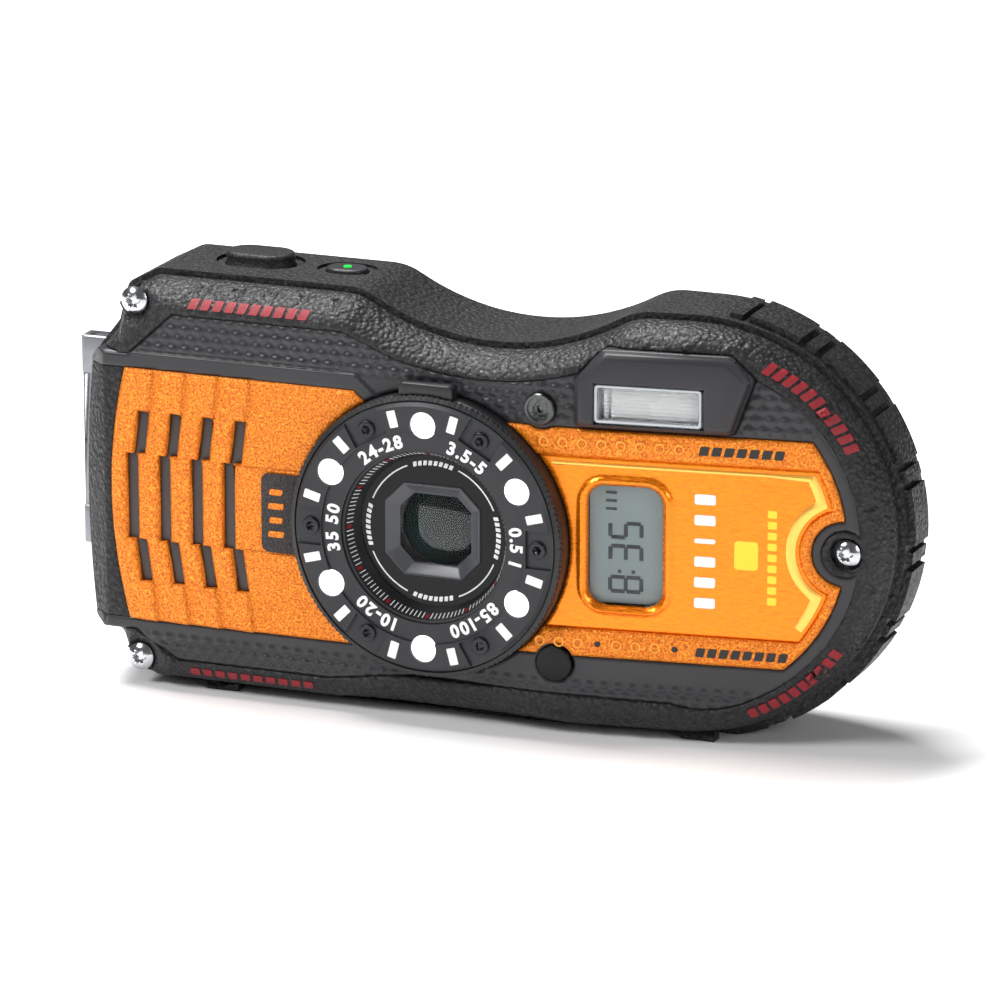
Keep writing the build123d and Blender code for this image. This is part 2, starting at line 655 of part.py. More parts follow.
def lens_group(x, length):
    """Lens in its square carrier, standing across the lying part of the lens."""
    with BuildPart() as group:
        add(block((x, x + length), (TUBE_Y - 4.8, TUBE_Y + 4.8), (LENS_Z - 6.6, LENS_Z + 6.6)))
        with BuildSketch(Plane.YZ.offset(x + length)):
            with Locations((TUBE_Y, LENS_Z)):
                Circle(3.4)
        extrude(amount=0.8)
    return group


pieces["zoom_group"] = lens_group(3.0, 4.0)
pieces["focus_group"] = lens_group(21.0, 3.0)

with BuildPart() as image_sensor:
    add(block((36.0, 38.9), (-1.4, 7.0), (23.0, 34.2)))
pieces["image_sensor"] = image_sensor

# ---- electronics -----------------------------------------------------------
with BuildPart() as chassis:
    with BuildSketch(Plane.XZ.offset(-10.1)):
        add(case_outline(4.6))
        with Locations(*(screw[::2] for screw in CASE_SCREWS)):
            Circle(2.1, mode=Mode.SUBTRACT)
    extrude(amount=0.8)
pieces["chassis"] = chassis

with BuildPart() as main_board:
    with BuildSketch(Plane.XZ.offset(-11.3)):
        add(case_outline(7.0))
        with Locations(*(screw[::2] for screw in CASE_SCREWS)):
            Circle(2.1, mode=Mode.SUBTRACT)
    extrude(amount=1.0)
pieces["main_board"] = main_board

with BuildPart() as flash_capacitor:
    with BuildSketch(Plane.YZ.offset(16)):
        with Locations((1.0, 44.5)):
            Circle(5.0)
    extrude(amount=26)
    fillet(flash_capacitor.edges().filter_by(GeomType.CIRCLE), 0.6)
pieces["flash_capacitor"] = flash_capacitor

with BuildPart() as gps_antenna:
    add(block((-8.0, 4.0), (-1.8, 2.2), (41.5, 52.5)))
pieces["gps_antenna"] = gps_antenna

with BuildPart() as button_switches:
    for x, z in (*BACK_BUTTONS.values(), (PAD_X, PAD_Z)):
        add(rod(11.3, 11.6, x, z, 1.4))
    across = (BUTTON_Y - 3, BUTTON_Y + 3)
    add(block((SHUTTER_X - 4, SHUTTER_X + 4), across, (51.0, 54.0)))
    add(block((POWER_X - 3, POWER_X + 3), across, (51.0, 54.5)))
    add(block((SHUTTER_X - 4, POWER_X + 3), across, (49.5, 51.0)))
pieces["button_switches"] = button_switches

# ---- top controls ----------------------------------------------------------
with BuildPart() as shutter_button:
    add(pill(60.0, 63.6, SHUTTER_X, 10.4, 6.6))
    fillet(shutter_button.edges().group_by(Axis.Z)[-1], 0.6)
    add(pill(59.2, 60.2, SHUTTER_X, 12.2, 8.2))
    with BuildSketch(Plane.XY.offset(55.0)):
        with Locations((SHUTTER_X, BUTTON_Y)):
            Circle(1.4)
    extrude(amount=4.4)
pieces["shutter_button"] = shutter_button

with BuildPart() as power_button:
    add(pill(60.0, 62.4, POWER_X, 6.2, 4.4))
    fillet(power_button.edges().group_by(Axis.Z)[-1], 0.4)
    add(pill(59.2, 60.2, POWER_X, 7.8, 6.0))
    with BuildSketch(Plane.XY.offset(55.2)):
        with Locations((POWER_X, BUTTON_Y)):
            Circle(1.2)
    extrude(amount=4.2)
    with BuildSketch(Plane.XY.offset(61.6)):
        with Locations((POWER_X, BUTTON_Y)):
            Circle(0.6)
    extrude(amount=2, mode=Mode.SUBTRACT)
pieces["power_button"] = power_button

with BuildPart() as power_led:
    with BuildSketch(Plane.XY.offset(61.6)):
        with Locations((POWER_X, BUTTON_Y)):
            Circle(0.6)
    extrude(amount=0.9)
pieces["power_led"] = power_led

# ---- back: display and controls --------------------------------------------
pieces["display_glass"] = rear_glass

with BuildPart() as rear_display:
    add(block((-21.3, 41.7), (11.5, 13.5), (9.7, 49.9)))
pieces["rear_display"] = rear_display

for button_name, (x, z) in BACK_BUTTONS.items():
    with BuildPart() as back_button:
        add(rod(12.6, 15.6, x, z, 2.9))
        fillet(back_button.edges().group_by(Axis.Y)[-1], 0.5)
        add(rod(12.1, 13.1, x, z, 3.6))
    pieces[button_name] = back_button

with BuildPart() as four_way_pad:
    add(rod(12.5, 15.8, PAD_X, PAD_Z, 8.3))
    fillet(four_way_pad.edges().group_by(Axis.Y)[-1], 0.8)
    add(rod(12.2, 12.6, PAD_X, PAD_Z, 8.9))
    add(rod(11, 17, PAD_X, PAD_Z, 3.75), mode=Mode.SUBTRACT)
pieces["four_way_pad"] = four_way_pad

with BuildPart() as pad_gimbal:
    add(rod(11.6, 11.95, PAD_X, PAD_Z, 4.8))
    add(rod(11, 17, PAD_X, PAD_Z, 3.75), mode=Mode.SUBTRACT)
pieces["pad_gimbal"] = pad_gimbal

with BuildPart() as ok_button:
    add(rod(12.1, 15.6, PAD_X, PAD_Z, 3.2))
    fillet(ok_button.edges().group_by(Axis.Y)[-1], 0.5)
pieces["ok_button"] = ok_button

with BuildPart() as zoom_rocker:
    with BuildSketch(upright(16.0, ROCKER_X, ROCKER_Z)):
        SlotOverall(12.0, 5.0)
    extrude(amount=1.5)
    fillet(zoom_rocker.edges().group_by(Axis.Y)[-1], 0.5)
    add(rod(12.2, 15.0, ROCKER_X, ROCKER_Z, 1.2))
    add(rod(12.0, 12.9, ROCKER_X, ROCKER_Z, 2.0))
pieces["zoom_rocker"] = zoom_rocker

# ---- battery and card, behind the door in the bottom -----------------------
with BuildPart() as battery_box:
    add(block((-45.0, -13.0), (-2.5, 9.0), (3.4, 45.6)))
    add(block((-44.2, -13.8), (1.9, 8.2), (3, 44.8)), mode=Mode.SUBTRACT)
    add(block((-42.0, -17.0), (-1.6, 1.1), (3, 37.0)), mode=Mode.SUBTRACT)
pieces["battery_box"] = battery_box

with BuildPart() as battery:
    add(block((-44.1, -13.9), (2.0, 8.1), (3.6, 44.0)))
    fillet(battery.edges().filter_by(Axis.Z), 1.0)
pieces["battery"] = battery

with BuildPart() as memory_card:
    add(block((-41.5, -17.5), (-1.5, 0.6), (4.0, 36.0)))
    chamfer(memory_card.edges().filter_by(Axis.Y).group_by(Axis.Z)[-1].sort_by(Axis.X)[0], 3.0)
pieces["memory_card"] = memory_card

with BuildPart() as battery_door:
    add(block(DOOR, (DOOR_FRONT_Y, HINGE_Y), (FOOT, HINGE_Z + 1.1)))
    with BuildSketch(Plane.YZ.offset(DOOR[0])):
        with Locations((HINGE_Y, HINGE_Z)):
            Circle(1.1)
    extrude(amount=DOOR[1] - DOOR[0])
    with BuildSketch(Plane.YZ.offset(DOOR[0] - 1)):
        with Locations((HINGE_Y, HINGE_Z)):
            Circle(0.65)
    extrude(amount=DOOR[1] - DOOR[0] + 2, mode=Mode.SUBTRACT)
    add(block((LATCH_X - 4.2, LATCH_X + 4.2), (LATCH_Y - 1.4, LATCH_Y + 1.4), (-1, 1.5)), mode=Mode.SUBTRACT)
pieces["battery_door"] = battery_door

with BuildPart() as door_latch:
    add(block((LATCH_X - 4.0, LATCH_X + 1.0), (LATCH_Y - 1.25, LATCH_Y + 1.25), (FOOT + 0.1, 1.4)))
pieces["door_latch"] = door_latch

with BuildPart() as door_pin:
    add(hinge_pin)
pieces["door_pin"] = door_pin

with BuildPart() as door_seal:
    add(block((-43.8, -13.8), (-2.4, 7.6), (2.5, 3.2)))
    add(block((-42.6, -15.0), (-1.2, 6.4), (2, 4)), mode=Mode.SUBTRACT)
pieces["door_seal"] = door_seal

# ---- outside fittings ------------------------------------------------------
with BuildPart() as tripod_bush:
    with BuildSketch(Plane.XY):
        Circle(5.0)
    extrude(amount=2.1)
    with BuildSketch(Plane.XY.offset(2.1)):
        Circle(4.6)
    extrude(amount=5.4)
    with BuildSketch(Plane.XY):
        Circle(SOCKET_R)
    extrude(amount=SOCKET_DEPTH, mode=Mode.SUBTRACT)
pieces["tripod_bush"] = tripod_bush

with BuildPart() as strap_bar:
    add(block((-65.2, -63.5), (-2.3, 0.5), (20.0, 47.5)))
    for lug in strap_lugs:
        add(lug)
    fillet(strap_bar.edges().filter_by(Axis.Z).group_by(Axis.X)[0], 0.5)
pieces["strap_bar"] = strap_bar

for name, piece in pieces.items():
    solids = piece.part.solids()
    print(name, piece.part.is_valid, len(solids), round(piece.part.volume, 1))
os.makedirs("parts", exist_ok=True)
for name, piece in pieces.items():
    piece.part.label = name
    export_step(piece.part, f"parts/{name}.step")
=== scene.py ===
"""Looks of a rugged waterproof compact camera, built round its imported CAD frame.

Lengths are written in millimetres, in the CAD's own frame, and MM turns them into metres.
The front face is flat up to BEND_X and then bends back. Depths are measured from it towards the back.
"""
import json
import math

import bmesh
import bpy
import numpy as np
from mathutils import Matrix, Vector
from mathutils.bvhtree import BVHTree
from mathutils.geometry import delaunay_2d_cdt

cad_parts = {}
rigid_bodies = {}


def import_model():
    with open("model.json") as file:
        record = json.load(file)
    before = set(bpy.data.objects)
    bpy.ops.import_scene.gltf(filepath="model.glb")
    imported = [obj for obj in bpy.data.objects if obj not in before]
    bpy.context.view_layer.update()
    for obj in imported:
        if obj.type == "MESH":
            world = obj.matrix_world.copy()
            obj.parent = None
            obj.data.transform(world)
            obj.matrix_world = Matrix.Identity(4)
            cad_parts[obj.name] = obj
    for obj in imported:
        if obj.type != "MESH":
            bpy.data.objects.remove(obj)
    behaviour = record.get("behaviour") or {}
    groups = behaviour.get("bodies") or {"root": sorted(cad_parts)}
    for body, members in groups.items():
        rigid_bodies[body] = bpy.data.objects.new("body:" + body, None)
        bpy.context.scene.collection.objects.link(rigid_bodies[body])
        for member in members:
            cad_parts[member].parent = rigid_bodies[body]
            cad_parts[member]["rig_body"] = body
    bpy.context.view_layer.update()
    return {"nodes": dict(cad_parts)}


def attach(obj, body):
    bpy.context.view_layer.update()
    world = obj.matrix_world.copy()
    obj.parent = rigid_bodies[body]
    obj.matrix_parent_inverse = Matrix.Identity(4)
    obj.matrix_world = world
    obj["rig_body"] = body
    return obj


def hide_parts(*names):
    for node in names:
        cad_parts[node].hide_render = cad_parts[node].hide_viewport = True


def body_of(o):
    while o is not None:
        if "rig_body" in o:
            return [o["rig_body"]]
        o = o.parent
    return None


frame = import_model()
NODES = frame["nodes"]
MM = 0.001

# ---- sizes shared with the CAD, in millimetres --------------------------------
END_X, END_Z = 30.6, 31.2          # middle of the round end
FACE_Y, BEND_X, BEND_RAD, BEND_R = -13.0, 12.0, math.radians(8.5), 60.0
LENS_X, LENS_Z = CENTRE = (-5.5, 28.6)
RING_Y, BAND_Y, DISC_Y = -16.0, -15.55, -12.0  # fronts of the ring, of its number band and of the lens disc
CASE_SCREWS = [(-52.4, -11.2, 58.2), (-52.2, -11.2, 4.4), (54.9, -5.4, 30.0)]
AF_LAMP = (11.2, 48.6)
CLOCK = (23.5, 29.05, 11.0, 17.7)  # middle, width and height of the clock window
FLASH = (27.1, 50.2, 15.8, 6.0)    # middle, width and height of the flash window
PANEL_SINK = 0.5                   # depth of the gloss panel's front
PRINT = 0.07                       # how far a printed mark stands proud
WELD = 0.001 * MM                  # points closer than this are one point


def face_y(x):
    """Y of the front face at x: flat, then an arc, then a straight slope."""
    x = np.asarray(x, float)
    reach = BEND_R * math.tan(BEND_RAD / 2)
    start, end = BEND_X - reach, BEND_X + reach * math.cos(BEND_RAD)
    arc = BEND_R - np.sqrt(np.maximum(BEND_R**2 - np.clip(x - start, 0, end - start) ** 2, 0))
    slope = (x - BEND_X) * math.tan(BEND_RAD)
    return FACE_Y + np.where(x < start, 0.0, np.where(x > end, slope, arc))


# ---- materials -----------------------------------------------------------------
def srgb(red, green, blue):
    """Linear colour of a display colour given in 0..255."""
    def linear(value):
        value /= 255
        return value / 12.92 if value <= 0.04045 else ((value + 0.055) / 1.055) ** 2.4
    return (linear(red), linear(green), linear(blue), 1.0)


class Look:
    """A Principled material with helpers for the textures that drive its colour, gloss and bump."""

    def __init__(self, name, color, roughness, metallic=0.0, **sockets):
        self.material = bpy.data.materials.new(name)
        self.material.use_nodes = True
        self.tree = self.material.node_tree
        self.shader = self.tree.nodes["Principled BSDF"]
        self.set(self.shader, "Base Color", color)
        self.set(self.shader, "Roughness", roughness)
        self.set(self.shader, "Metallic", metallic)
        for socket, value in sockets.items():
            self.set(self.shader, socket.replace("_", " "), value)
        self.place = self.node("ShaderNodeTexCoord").outputs["Object"]
        self.normal = None

    def node(self, kind, **properties):
        made = self.tree.nodes.new(kind)
        for key, value in properties.items():
            setattr(made, key, value)
        return made

    def set(self, node, socket, value):
        node.inputs[socket].default_value = value

    def link(self, source, node, socket):
        self.tree.links.new(source, node.inputs[socket])

    def stretched(self, x, y, z):
        """Object coordinates scaled along each axis, for brushed grain."""
        mapping = self.node("ShaderNodeMapping")
        self.link(self.place, mapping, "Vector")
        self.set(mapping, "Scale", (x, y, z))
        return mapping.outputs["Vector"]

    def noise(self, size, detail=2.0, roughness=0.5, place=None):
        """Noise whose features are about size millimetres across."""
        made = self.node("ShaderNodeTexNoise")
        self.link(place or self.place, made, "Vector")
        self.set(made, "Scale", 1 / (size * MM))
        self.set(made, "Detail", detail)
        self.set(made, "Roughness", roughness)
        return made.outputs["Fac"]

    def cells(self, size, feature="F1"):
        """Cell pattern whose cells are about size millimetres across."""
        made = self.node("ShaderNodeTexVoronoi", feature=feature)
        self.link(self.place, made, "Vector")
        self.set(made, "Scale", 1 / (size * MM))
        return made.outputs["Distance"]

    def ramp(self, source, *stops):
        """Colour ramp from (position, colour) stops."""
        made = self.node("ShaderNodeValToRGB")
        self.link(source, made, "Fac")
        band = made.color_ramp
        while len(band.elements) < len(stops):
            band.elements.new(0.5)
        for element, (position, color) in zip(band.elements, stops):
            element.position = position
            element.color = color
        return made.outputs["Color"]

    def level(self, source, low, high, start=0.0, end=1.0):
        """Remap a texture to a number range."""
        made = self.node("ShaderNodeMapRange")
        self.link(source, made, "Value")
        self.set(made, "From Min", start)
        self.set(made, "From Max", end)
        self.set(made, "To Min", low)
        self.set(made, "To Max", high)
        return made.outputs["Result"]

    def color(self, source):
        self.link(source, self.shader, "Base Color")

    def gloss(self, source):
        self.link(source, self.shader, "Roughness")

    def bump(self, source, depth):
        """Add relief, depth millimetres high."""
        made = self.node("ShaderNodeBump")
        self.link(source, made, "Height")
        self.set(made, "Distance", depth * MM)
        if self.normal:
            self.link(self.normal, made, "Normal")
        self.normal = made.outputs["Normal"]
        self.link(self.normal, self.shader, "Normal")


def pebbled(name, base, size=0.5, depth=0.18, roughness=0.48):
    """Moulded rubbery plastic with a fine pebble grain; the pebble tops are painted lighter as highlight and the
    valleys between them darker as shade.
    """
    look = Look(name, base, roughness, Specular_IOR_Level=0.35)
    cells = look.cells(size, feature="SMOOTH_F1")
    fine = look.noise(size * 0.8, 1.0)
    # painted light: the cell edges between pebbles get a painted shade colour and the pebble tops a painted highlight
    # colour
    valley_painted_shade = tuple(c * 0.45 for c in base[:3]) + (1,)
    top = tuple(min(1, c * 1.7) for c in base[:3]) + (1,)
    look.color(look.ramp(cells, (0.1, top), (0.35, base), (0.7, valley_painted_shade)))
    look.gloss(look.level(fine, roughness - 0.1, roughness + 0.18, 0.3, 0.7))
    look.bump(look.level(cells, 1.0, 0.0, 0.0, 0.7), depth)
    look.bump(fine, depth * 0.4)
    return look


def satin(name, base, roughness=0.42, metallic=0.0, size=0.25, depth=0.012, **sockets):
    """Smooth moulded or painted surface with a faint grain."""
    look = Look(name, base, roughness, metallic, **sockets)
    fine = look.noise(size, 4.0)
    broad = look.noise(9.0, 3.0)
    look.gloss(look.level(broad, roughness - 0.06, roughness + 0.08, 0.3, 0.7))
    look.bump(fine, depth)
    return look


def sparkle(name):
    """Orange paint with a coarse grain whose tone is partly the paint's own and partly painted light: raised grains
    painted brighter as glints, sunk grains painted darker as shade.
    """
    base, dark, light = srgb(230, 122, 10), srgb(190, 82, 2), srgb(252, 170, 46)
    look = Look(name, base, 0.42, 0.3)
    grain = look.noise(0.3, 2.0, 0.5)
    # the grain also sets the bump height, so this ramp paints glints onto raised grains and shade into sunk ones
    # besides varying the paint's tone
    look.color(look.ramp(grain, (0.3, dark), (0.5, base), (0.72, light)))
    look.gloss(look.level(grain, 0.5, 0.3, 0.35, 0.65))
    look.bump(grain, 0.16)
    look.bump(look.cells(0.5), 0.07)
    return look


def brushed_gloss(name):
    """Clear-coated orange over a brush grain that runs along X."""
    look = Look(name, srgb(246, 130, 6), 0.24, 0.7, Coat_Weight=0.25, Coat_Roughness=0.06)
    brush = look.noise(0.22, 3.0, 0.6, place=look.stretched(0.012, 1.0, 1.0))
    look.color(look.ramp(brush, (0.3, srgb(240, 118, 0)), (0.7, srgb(252, 144, 10))))
    look.gloss(look.level(brush, 0.22, 0.36, 0.3, 0.7))
    look.bump(brush, 0.006)
    return look


def glass(name, tint, ior=1.2):
    """Clear glass with a very faint waviness."""
    look = Look(name, tint, 0.02, Transmission_Weight=1.0, IOR=ior)
    look.bump(look.noise(6.0, 2.0), 0.004)
    return look


def coated_lens(name):
    """Dark glass whose base colour carries a painted reflection of its coating: blue-green, turning warmer towards
    grazing view.
    """
    look = Look(name, srgb(14, 20, 24), 0.05, Coat_Weight=0.35, Coat_Roughness=0.03, Specular_IOR_Level=0.3)
    # painted reflection: the base colour changes with the viewing angle like the coating's coloured reflection
    tint = look.node("ShaderNodeLayerWeight")
    look.set(tint, "Blend", 0.35)
    look.color(look.ramp(tint.outputs["Facing"], (0.0, srgb(10, 16, 18)), (0.35, srgb(30, 58, 56)),
                         (1.0, srgb(60, 50, 80))))
    look.bump(look.noise(5.0, 2.0), 0.002)
    return look


def metal(name, base, roughness, size=0.3, depth=0.006):
    """Bare metal with a fine grain."""
    look = Look(name, base, roughness, 1.0)
    fine = look.noise(size, 4.0)
    look.gloss(look.level(look.noise(2.0, 3.0), roughness * 0.7, roughness * 1.4, 0.3, 0.7))
    look.bump(fine, depth)
    return look


def print_ink(name, base, roughness=0.55):
    """Slightly uneven printed ink."""
    look = Look(name, base, roughness)
    look.gloss(look.level(look.noise(0.3, 3.0), roughness - 0.1, roughness + 0.1, 0.3, 0.7))
    look.bump(look.noise(0.2, 3.0), 0.01)
    return look


def glowing(name, base, strength):
    """Lit lamp lens with faceted cells."""
    look = Look(name, base, 0.3, Emission_Color=base, Emission_Strength=strength)
    look.bump(look.cells(0.8), 0.03)
    return look


LOOKS = {
    "armour": pebbled("armour_pebble", srgb(35, 34, 36), 0.62, 0.2),
    "armour_rear": pebbled("armour_rear_pebble", srgb(36, 35, 37), 0.6, 0.16),
    "button": pebbled("button_pebble", srgb(34, 33, 35), 0.4, 0.05, 0.5),
    "trim": satin("trim_satin", srgb(48, 46, 49), 0.42, Specular_IOR_Level=0.35),
    "carbon": satin("carbon_dimple", srgb(46, 46, 49), 0.36, Specular_IOR_Level=0.4),
    "orange": sparkle("orange_sparkle"),
    "gloss_orange": brushed_gloss("orange_brushed_gloss"),
    "ring": satin("ring_satin", srgb(42, 43, 46), 0.4, size=0.2, depth=0.02, Specular_IOR_Level=0.35),
    "ring_dark": satin("ring_dark", srgb(26, 27, 29), 0.42),
    "piano": satin("gloss_black", srgb(8, 8, 9), 0.12, Specular_IOR_Level=0.22),
    # painted highlight: lighter orange for the raised rims round the plate's dimples
    "stud": satin("stud_rim_painted_highlight", srgb(250, 176, 70), 0.35, 0.3),
    # painted highlight: light yellow for the bright edge of the gloss panel
    "lip_painted_highlight": satin("panel_lip_painted_highlight", srgb(255, 196, 90), 0.22, 0.6),
    "lamp_bowl": metal("lamp_bowl_metal", srgb(84, 86, 86), 0.26),
    "chrome": metal("chrome_polished", srgb(196, 198, 202), 0.16, 1.5, 0.0005),
    "bar": metal("bar_metal", srgb(140, 142, 146), 0.34),
    "dark_steel": metal("dark_steel", srgb(58, 58, 62), 0.34),
    "steel": metal("plain_steel", srgb(170, 170, 174), 0.3),
    "brass": metal("nickelled_brass", srgb(190, 186, 176), 0.25),
    "clear": glass("clear_glass", (1, 1, 1, 1), ior=1.12),
    "lens": glass("coated_lens", (0.75, 0.82, 0.95, 1)),
    "reflector": metal("bright_reflector", srgb(235, 236, 240), 0.16),
    "lamp": glowing("lamp_white", srgb(250, 252, 255), 1.2),
    "green": glowing("green_lamp", srgb(20, 190, 60), 1.0),
    "lcd": satin("lcd_cell", srgb(128, 142, 142), 0.35),
    "lcd_ink": print_ink("lcd_ink", srgb(38, 46, 50), 0.4),
    "pcb": satin("solder_mask", srgb(14, 84, 44), 0.35),
    "module": satin("module_black", srgb(34, 34, 37), 0.5),
    "wrap": satin("cell_wrap", srgb(40, 42, 48), 0.3),
    "rubber": pebbled("rubber_matt", srgb(34, 34, 36), 0.3, 0.1, 0.7),
    "funnel": satin("funnel_satin", srgb(64, 66, 70), 0.32),
    "baffle": satin("baffle_black", srgb(16, 17, 19), 0.45),
    "coated": coated_lens("coated_front_glass"),
    "diffuser": satin("ribbed_diffuser", srgb(226, 228, 228), 0.25),
    "clear_frame": satin("frosted_frame", srgb(176, 180, 184), 0.22, 0.6),
    "white_ink": print_ink("white_ink", srgb(236, 236, 238)),
    "red_ink": print_ink("red_ink", srgb(138, 14, 28)),
    "black_ink_and_hole_shade": print_ink("black_ink_and_hole_shade", srgb(34, 30, 28)),
    "yellow_ink": print_ink("yellow_ink", srgb(250, 214, 50)),
    "badge": pebbled("badge_pebble", srgb(56, 50, 50), 0.3, 0.1, 0.55),
    "insert": satin("insert_rubber", srgb(58, 53, 53), 0.5, size=0.2, depth=0.02),
}

NODE_LOOKS = {
    "armour": "front_shell battery_door",
    "armour_rear": "rear_shell",
    "button": "shutter_button",
    "trim": "side_grip flash_hood trim_frame power_button play_button movie_button menu_button mode_button "
            "four_way_pad ok_button zoom_rocker door_latch",
    "orange": "grip_plate face_plate",
    "gloss_orange": "display_panel",
    "badge": "grip_badge",
    "insert": "grip_inserts",
    "ring": "ring_bezel",
    "ring_dark": "ring_base scale_ring",
    "piano": "lens_plate remote_window display_glass",
    "chrome": "case_screws",
    "bar": "strap_bar",
    "dark_steel": "ring_screws",
    "steel": "chassis door_pin button_switches",
    "brass": "tripod_bush",
    "clear": "flash_window flash_tube clock_window af_lamp_lens lens_window",
    "lens": "front_element prism",
    "reflector": "flash_reflector",
    "lamp": "led_lenses",
    "green": "power_led",
    "lcd": "clock_lcd rear_display",
    "pcb": "main_board led_board",
    "module": "lens_barrel zoom_group focus_group image_sensor gps_antenna battery_box memory_card",
    "wrap": "battery flash_capacitor",
    "rubber": "main_seal pad_gimbal door_seal",
}


def dress(piece, look):
    """Give a piece one material."""
    piece.data.materials.clear()
    piece.data.materials.append(LOOKS[look].material)


def dress_nodes():
    """Give every CAD node listed in NODE_LOOKS its material."""
    for look, names in NODE_LOOKS.items():
        for name in names.split():
            dress(NODES[name], look)


dress_nodes()


# ---- mesh tools ------------------------------------------------------------------
def piece_from(name, mesh, look, replaced=None):
    """Object from an edit mesh, smooth up to its creases, on the body of the CAD node that it replaces."""
    data = bpy.data.meshes.new(name)
    mesh.to_mesh(data)
    mesh.free()
    data.shade_smooth()
    data.set_sharp_from_angle(angle=math.radians(36))
    made = bpy.data.objects.new(name, data)
    bpy.context.scene.collection.objects.link(made)
    dress(made, look)
    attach(made, body_of(NODES[replaced])[0] if replaced else "camera")
    if replaced:
        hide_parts(replaced)


def closed_piece(name, mesh, look, replaced=None):
    """Piece from an edit mesh whose faces are first turned outwards."""
    bmesh.ops.recalc_face_normals(mesh, faces=mesh.faces)
    piece_from(name, mesh, look, replaced)


def weld(mesh):
    """Join points that lie on each other."""
    bmesh.ops.remove_doubles(mesh, verts=mesh.verts, dist=WELD)


def cad_copy(node):
    """Edit mesh of a CAD node, with its doubled points merged."""
    mesh = bmesh.new()
    mesh.from_mesh(NODES[node].data)
    bmesh.ops.remove_doubles(mesh, verts=mesh.verts, dist=1e-6)
    return mesh


def softened(node, look, width, segments=2):
    """Copy of a CAD node with its convex edges rounded over."""
    mesh = cad_copy(node)
    bmesh.ops.dissolve_limit(mesh, angle_limit=math.radians(0.6), verts=mesh.verts, edges=mesh.edges)
    sharp = [edge for edge in mesh.edges if edge.is_manifold and edge.calc_face_angle_signed(0) > 0.6]
    bmesh.ops.bevel(mesh, geom=sharp, offset=width * MM, segments=segments, profile=0.5,
                    affect="EDGES", clamp_overlap=False)
    bmesh.ops.triangulate(mesh, faces=[face for face in mesh.faces if len(face.verts) > 4])
    piece_from(node + "_body", mesh, look, node)


def crossing(points, starts, ends):
    """Whether each point lies inside the closed loops that the segments make."""
    inside = np.zeros(len(points), bool)
    for (x0, z0), (x1, z1) in zip(starts, ends):
        if z0 == z1:
            continue
        spans = (points[:, 1] >= min(z0, z1)) & (points[:, 1] < max(z0, z1))
        at = x0 + (points[:, 1] - z0) * (x1 - x0) / (z1 - z0)
        inside ^= spans & (points[:, 0] < at)
    return inside


def clearance(points, starts, ends):
    """Distance from each point to the nearest segment."""
    best = np.full(len(points), 1e9)
    for start, end in zip(starts, ends):
        run = end - start
        along = np.clip(((points - start) @ run) / max(run @ run, 1e-12), 0, 1)
        best = np.minimum(best, np.hypot(*(points - start - along[:, None] * run).T))
    return best


def hex_grid(low, high, spacing):
    """Points of a triangular grid over a box."""
    rows = np.arange(low[1], high[1], spacing * 0.866)
    columns = np.arange(low[0], high[0], spacing)
    x, z = np.meshgrid(columns, rows)
    x = x + (np.arange(len(rows)) % 2)[:, None] * spacing / 2
    return np.column_stack([x.ravel(), z.ravel()])


def spot_points(spots):
    """Rings of points round each (x, z, radius, depth) spot."""
    turns = np.arange(14) * math.tau / 14
    rings = [np.column_stack([x + radius * part * np.cos(turns), z + radius * part * np.sin(turns)])
             for x, z, radius, _ in spots for part in (0.35, 0.7, 1.0, 1.2)]
    centres = np.array([spot[:2] for spot in spots])
    return np.vstack(rings + [centres])


def spot_relief(x, z, spots):
    """Depth that round dimples add; a negative depth makes a bump."""
    total = np.zeros_like(x)
    for spot_x, spot_z, radius, depth in spots:
        part = np.clip(np.hypot(x - spot_x, z - spot_z) / radius, 0, 1)
        total += depth * (1 - part**2) ** 1.2
    return total


def smooth(value, low, high):
    """Rises from 0 to 1 between low and high, with eased ends."""
    part = np.clip((value - low) / (high - low), 0, 1)
    return part * part * (3 - 2 * part)


def is_front(face, tilt, reach):
    """Whether a CAD face belongs to the front: flat ones within a range of depths, tilted ones at the rim.

    The rim is the front shell's rounded outer edge, which is deeper than anything in front of the recess.
    """
    centre = face.calc_center_median() / MM
    depth = centre.y - float(face_y(centre.x))
    flat = -face.normal.y > 0.985
    rim = abs(centre.z - 31.0) > 20.0 or abs(centre.x) > 52.0
    rim_depth = 3.05
    return -face.normal.y > tilt and reach[0] < depth < (reach[1] if flat else rim_depth) and (flat or rim)


def cut_rim(mesh, front_faces, spacing):
    """Cut the edges round the front faces into pieces about spacing long."""
    chosen = set(front_faces())
    by_cuts = {}
    for edge in mesh.edges:
        if sum(face in chosen for face in edge.link_faces) == 1:
            by_cuts.setdefault(int(edge.calc_length() / MM / spacing), []).append(edge)
    for cuts, edges in by_cuts.items():
        if cuts:
            bmesh.ops.subdivide_edges(mesh, edges=edges, cuts=cuts)


def inner_points(flat, starts, ends, spacing, spots, creases):
    """Grid over the area inside a rim, with rings round each spot and a gap along each crease."""
    inner = hex_grid(flat.min(0), flat.max(0), spacing)
    if len(spots):
        for x, z, radius, _ in spots:
            inner = inner[np.hypot(inner[:, 0] - x, inner[:, 1] - z) > 1.3 * radius]
        inner = np.vstack([inner, spot_points(spots)])
    for crease in creases:
        inner = inner[clearance(inner, np.array(crease[:-1]), np.array(crease[1:])) > 0.3 * spacing]
    inner = inner[crossing(inner, starts, ends)]
    return inner[clearance(inner, starts, ends) > 0.4 * spacing]


def crease_links(points, starts, ends, spacing, creases):
    """Add the points of each crease that lie inside the rim, and return the links between them."""
    links = []
    for crease in creases:
        line = resampled(crease, spacing)
        fits = crossing(line, starts, ends) & (clearance(line, starts, ends) > 0.04)
        previous = None
        for place, fit in zip(line, fits):
            if fit:
                points.append(tuple(place))
                if previous is not None:
                    links.append((previous, len(points) - 1))
            previous = len(points) - 1 if fit else None
    return links


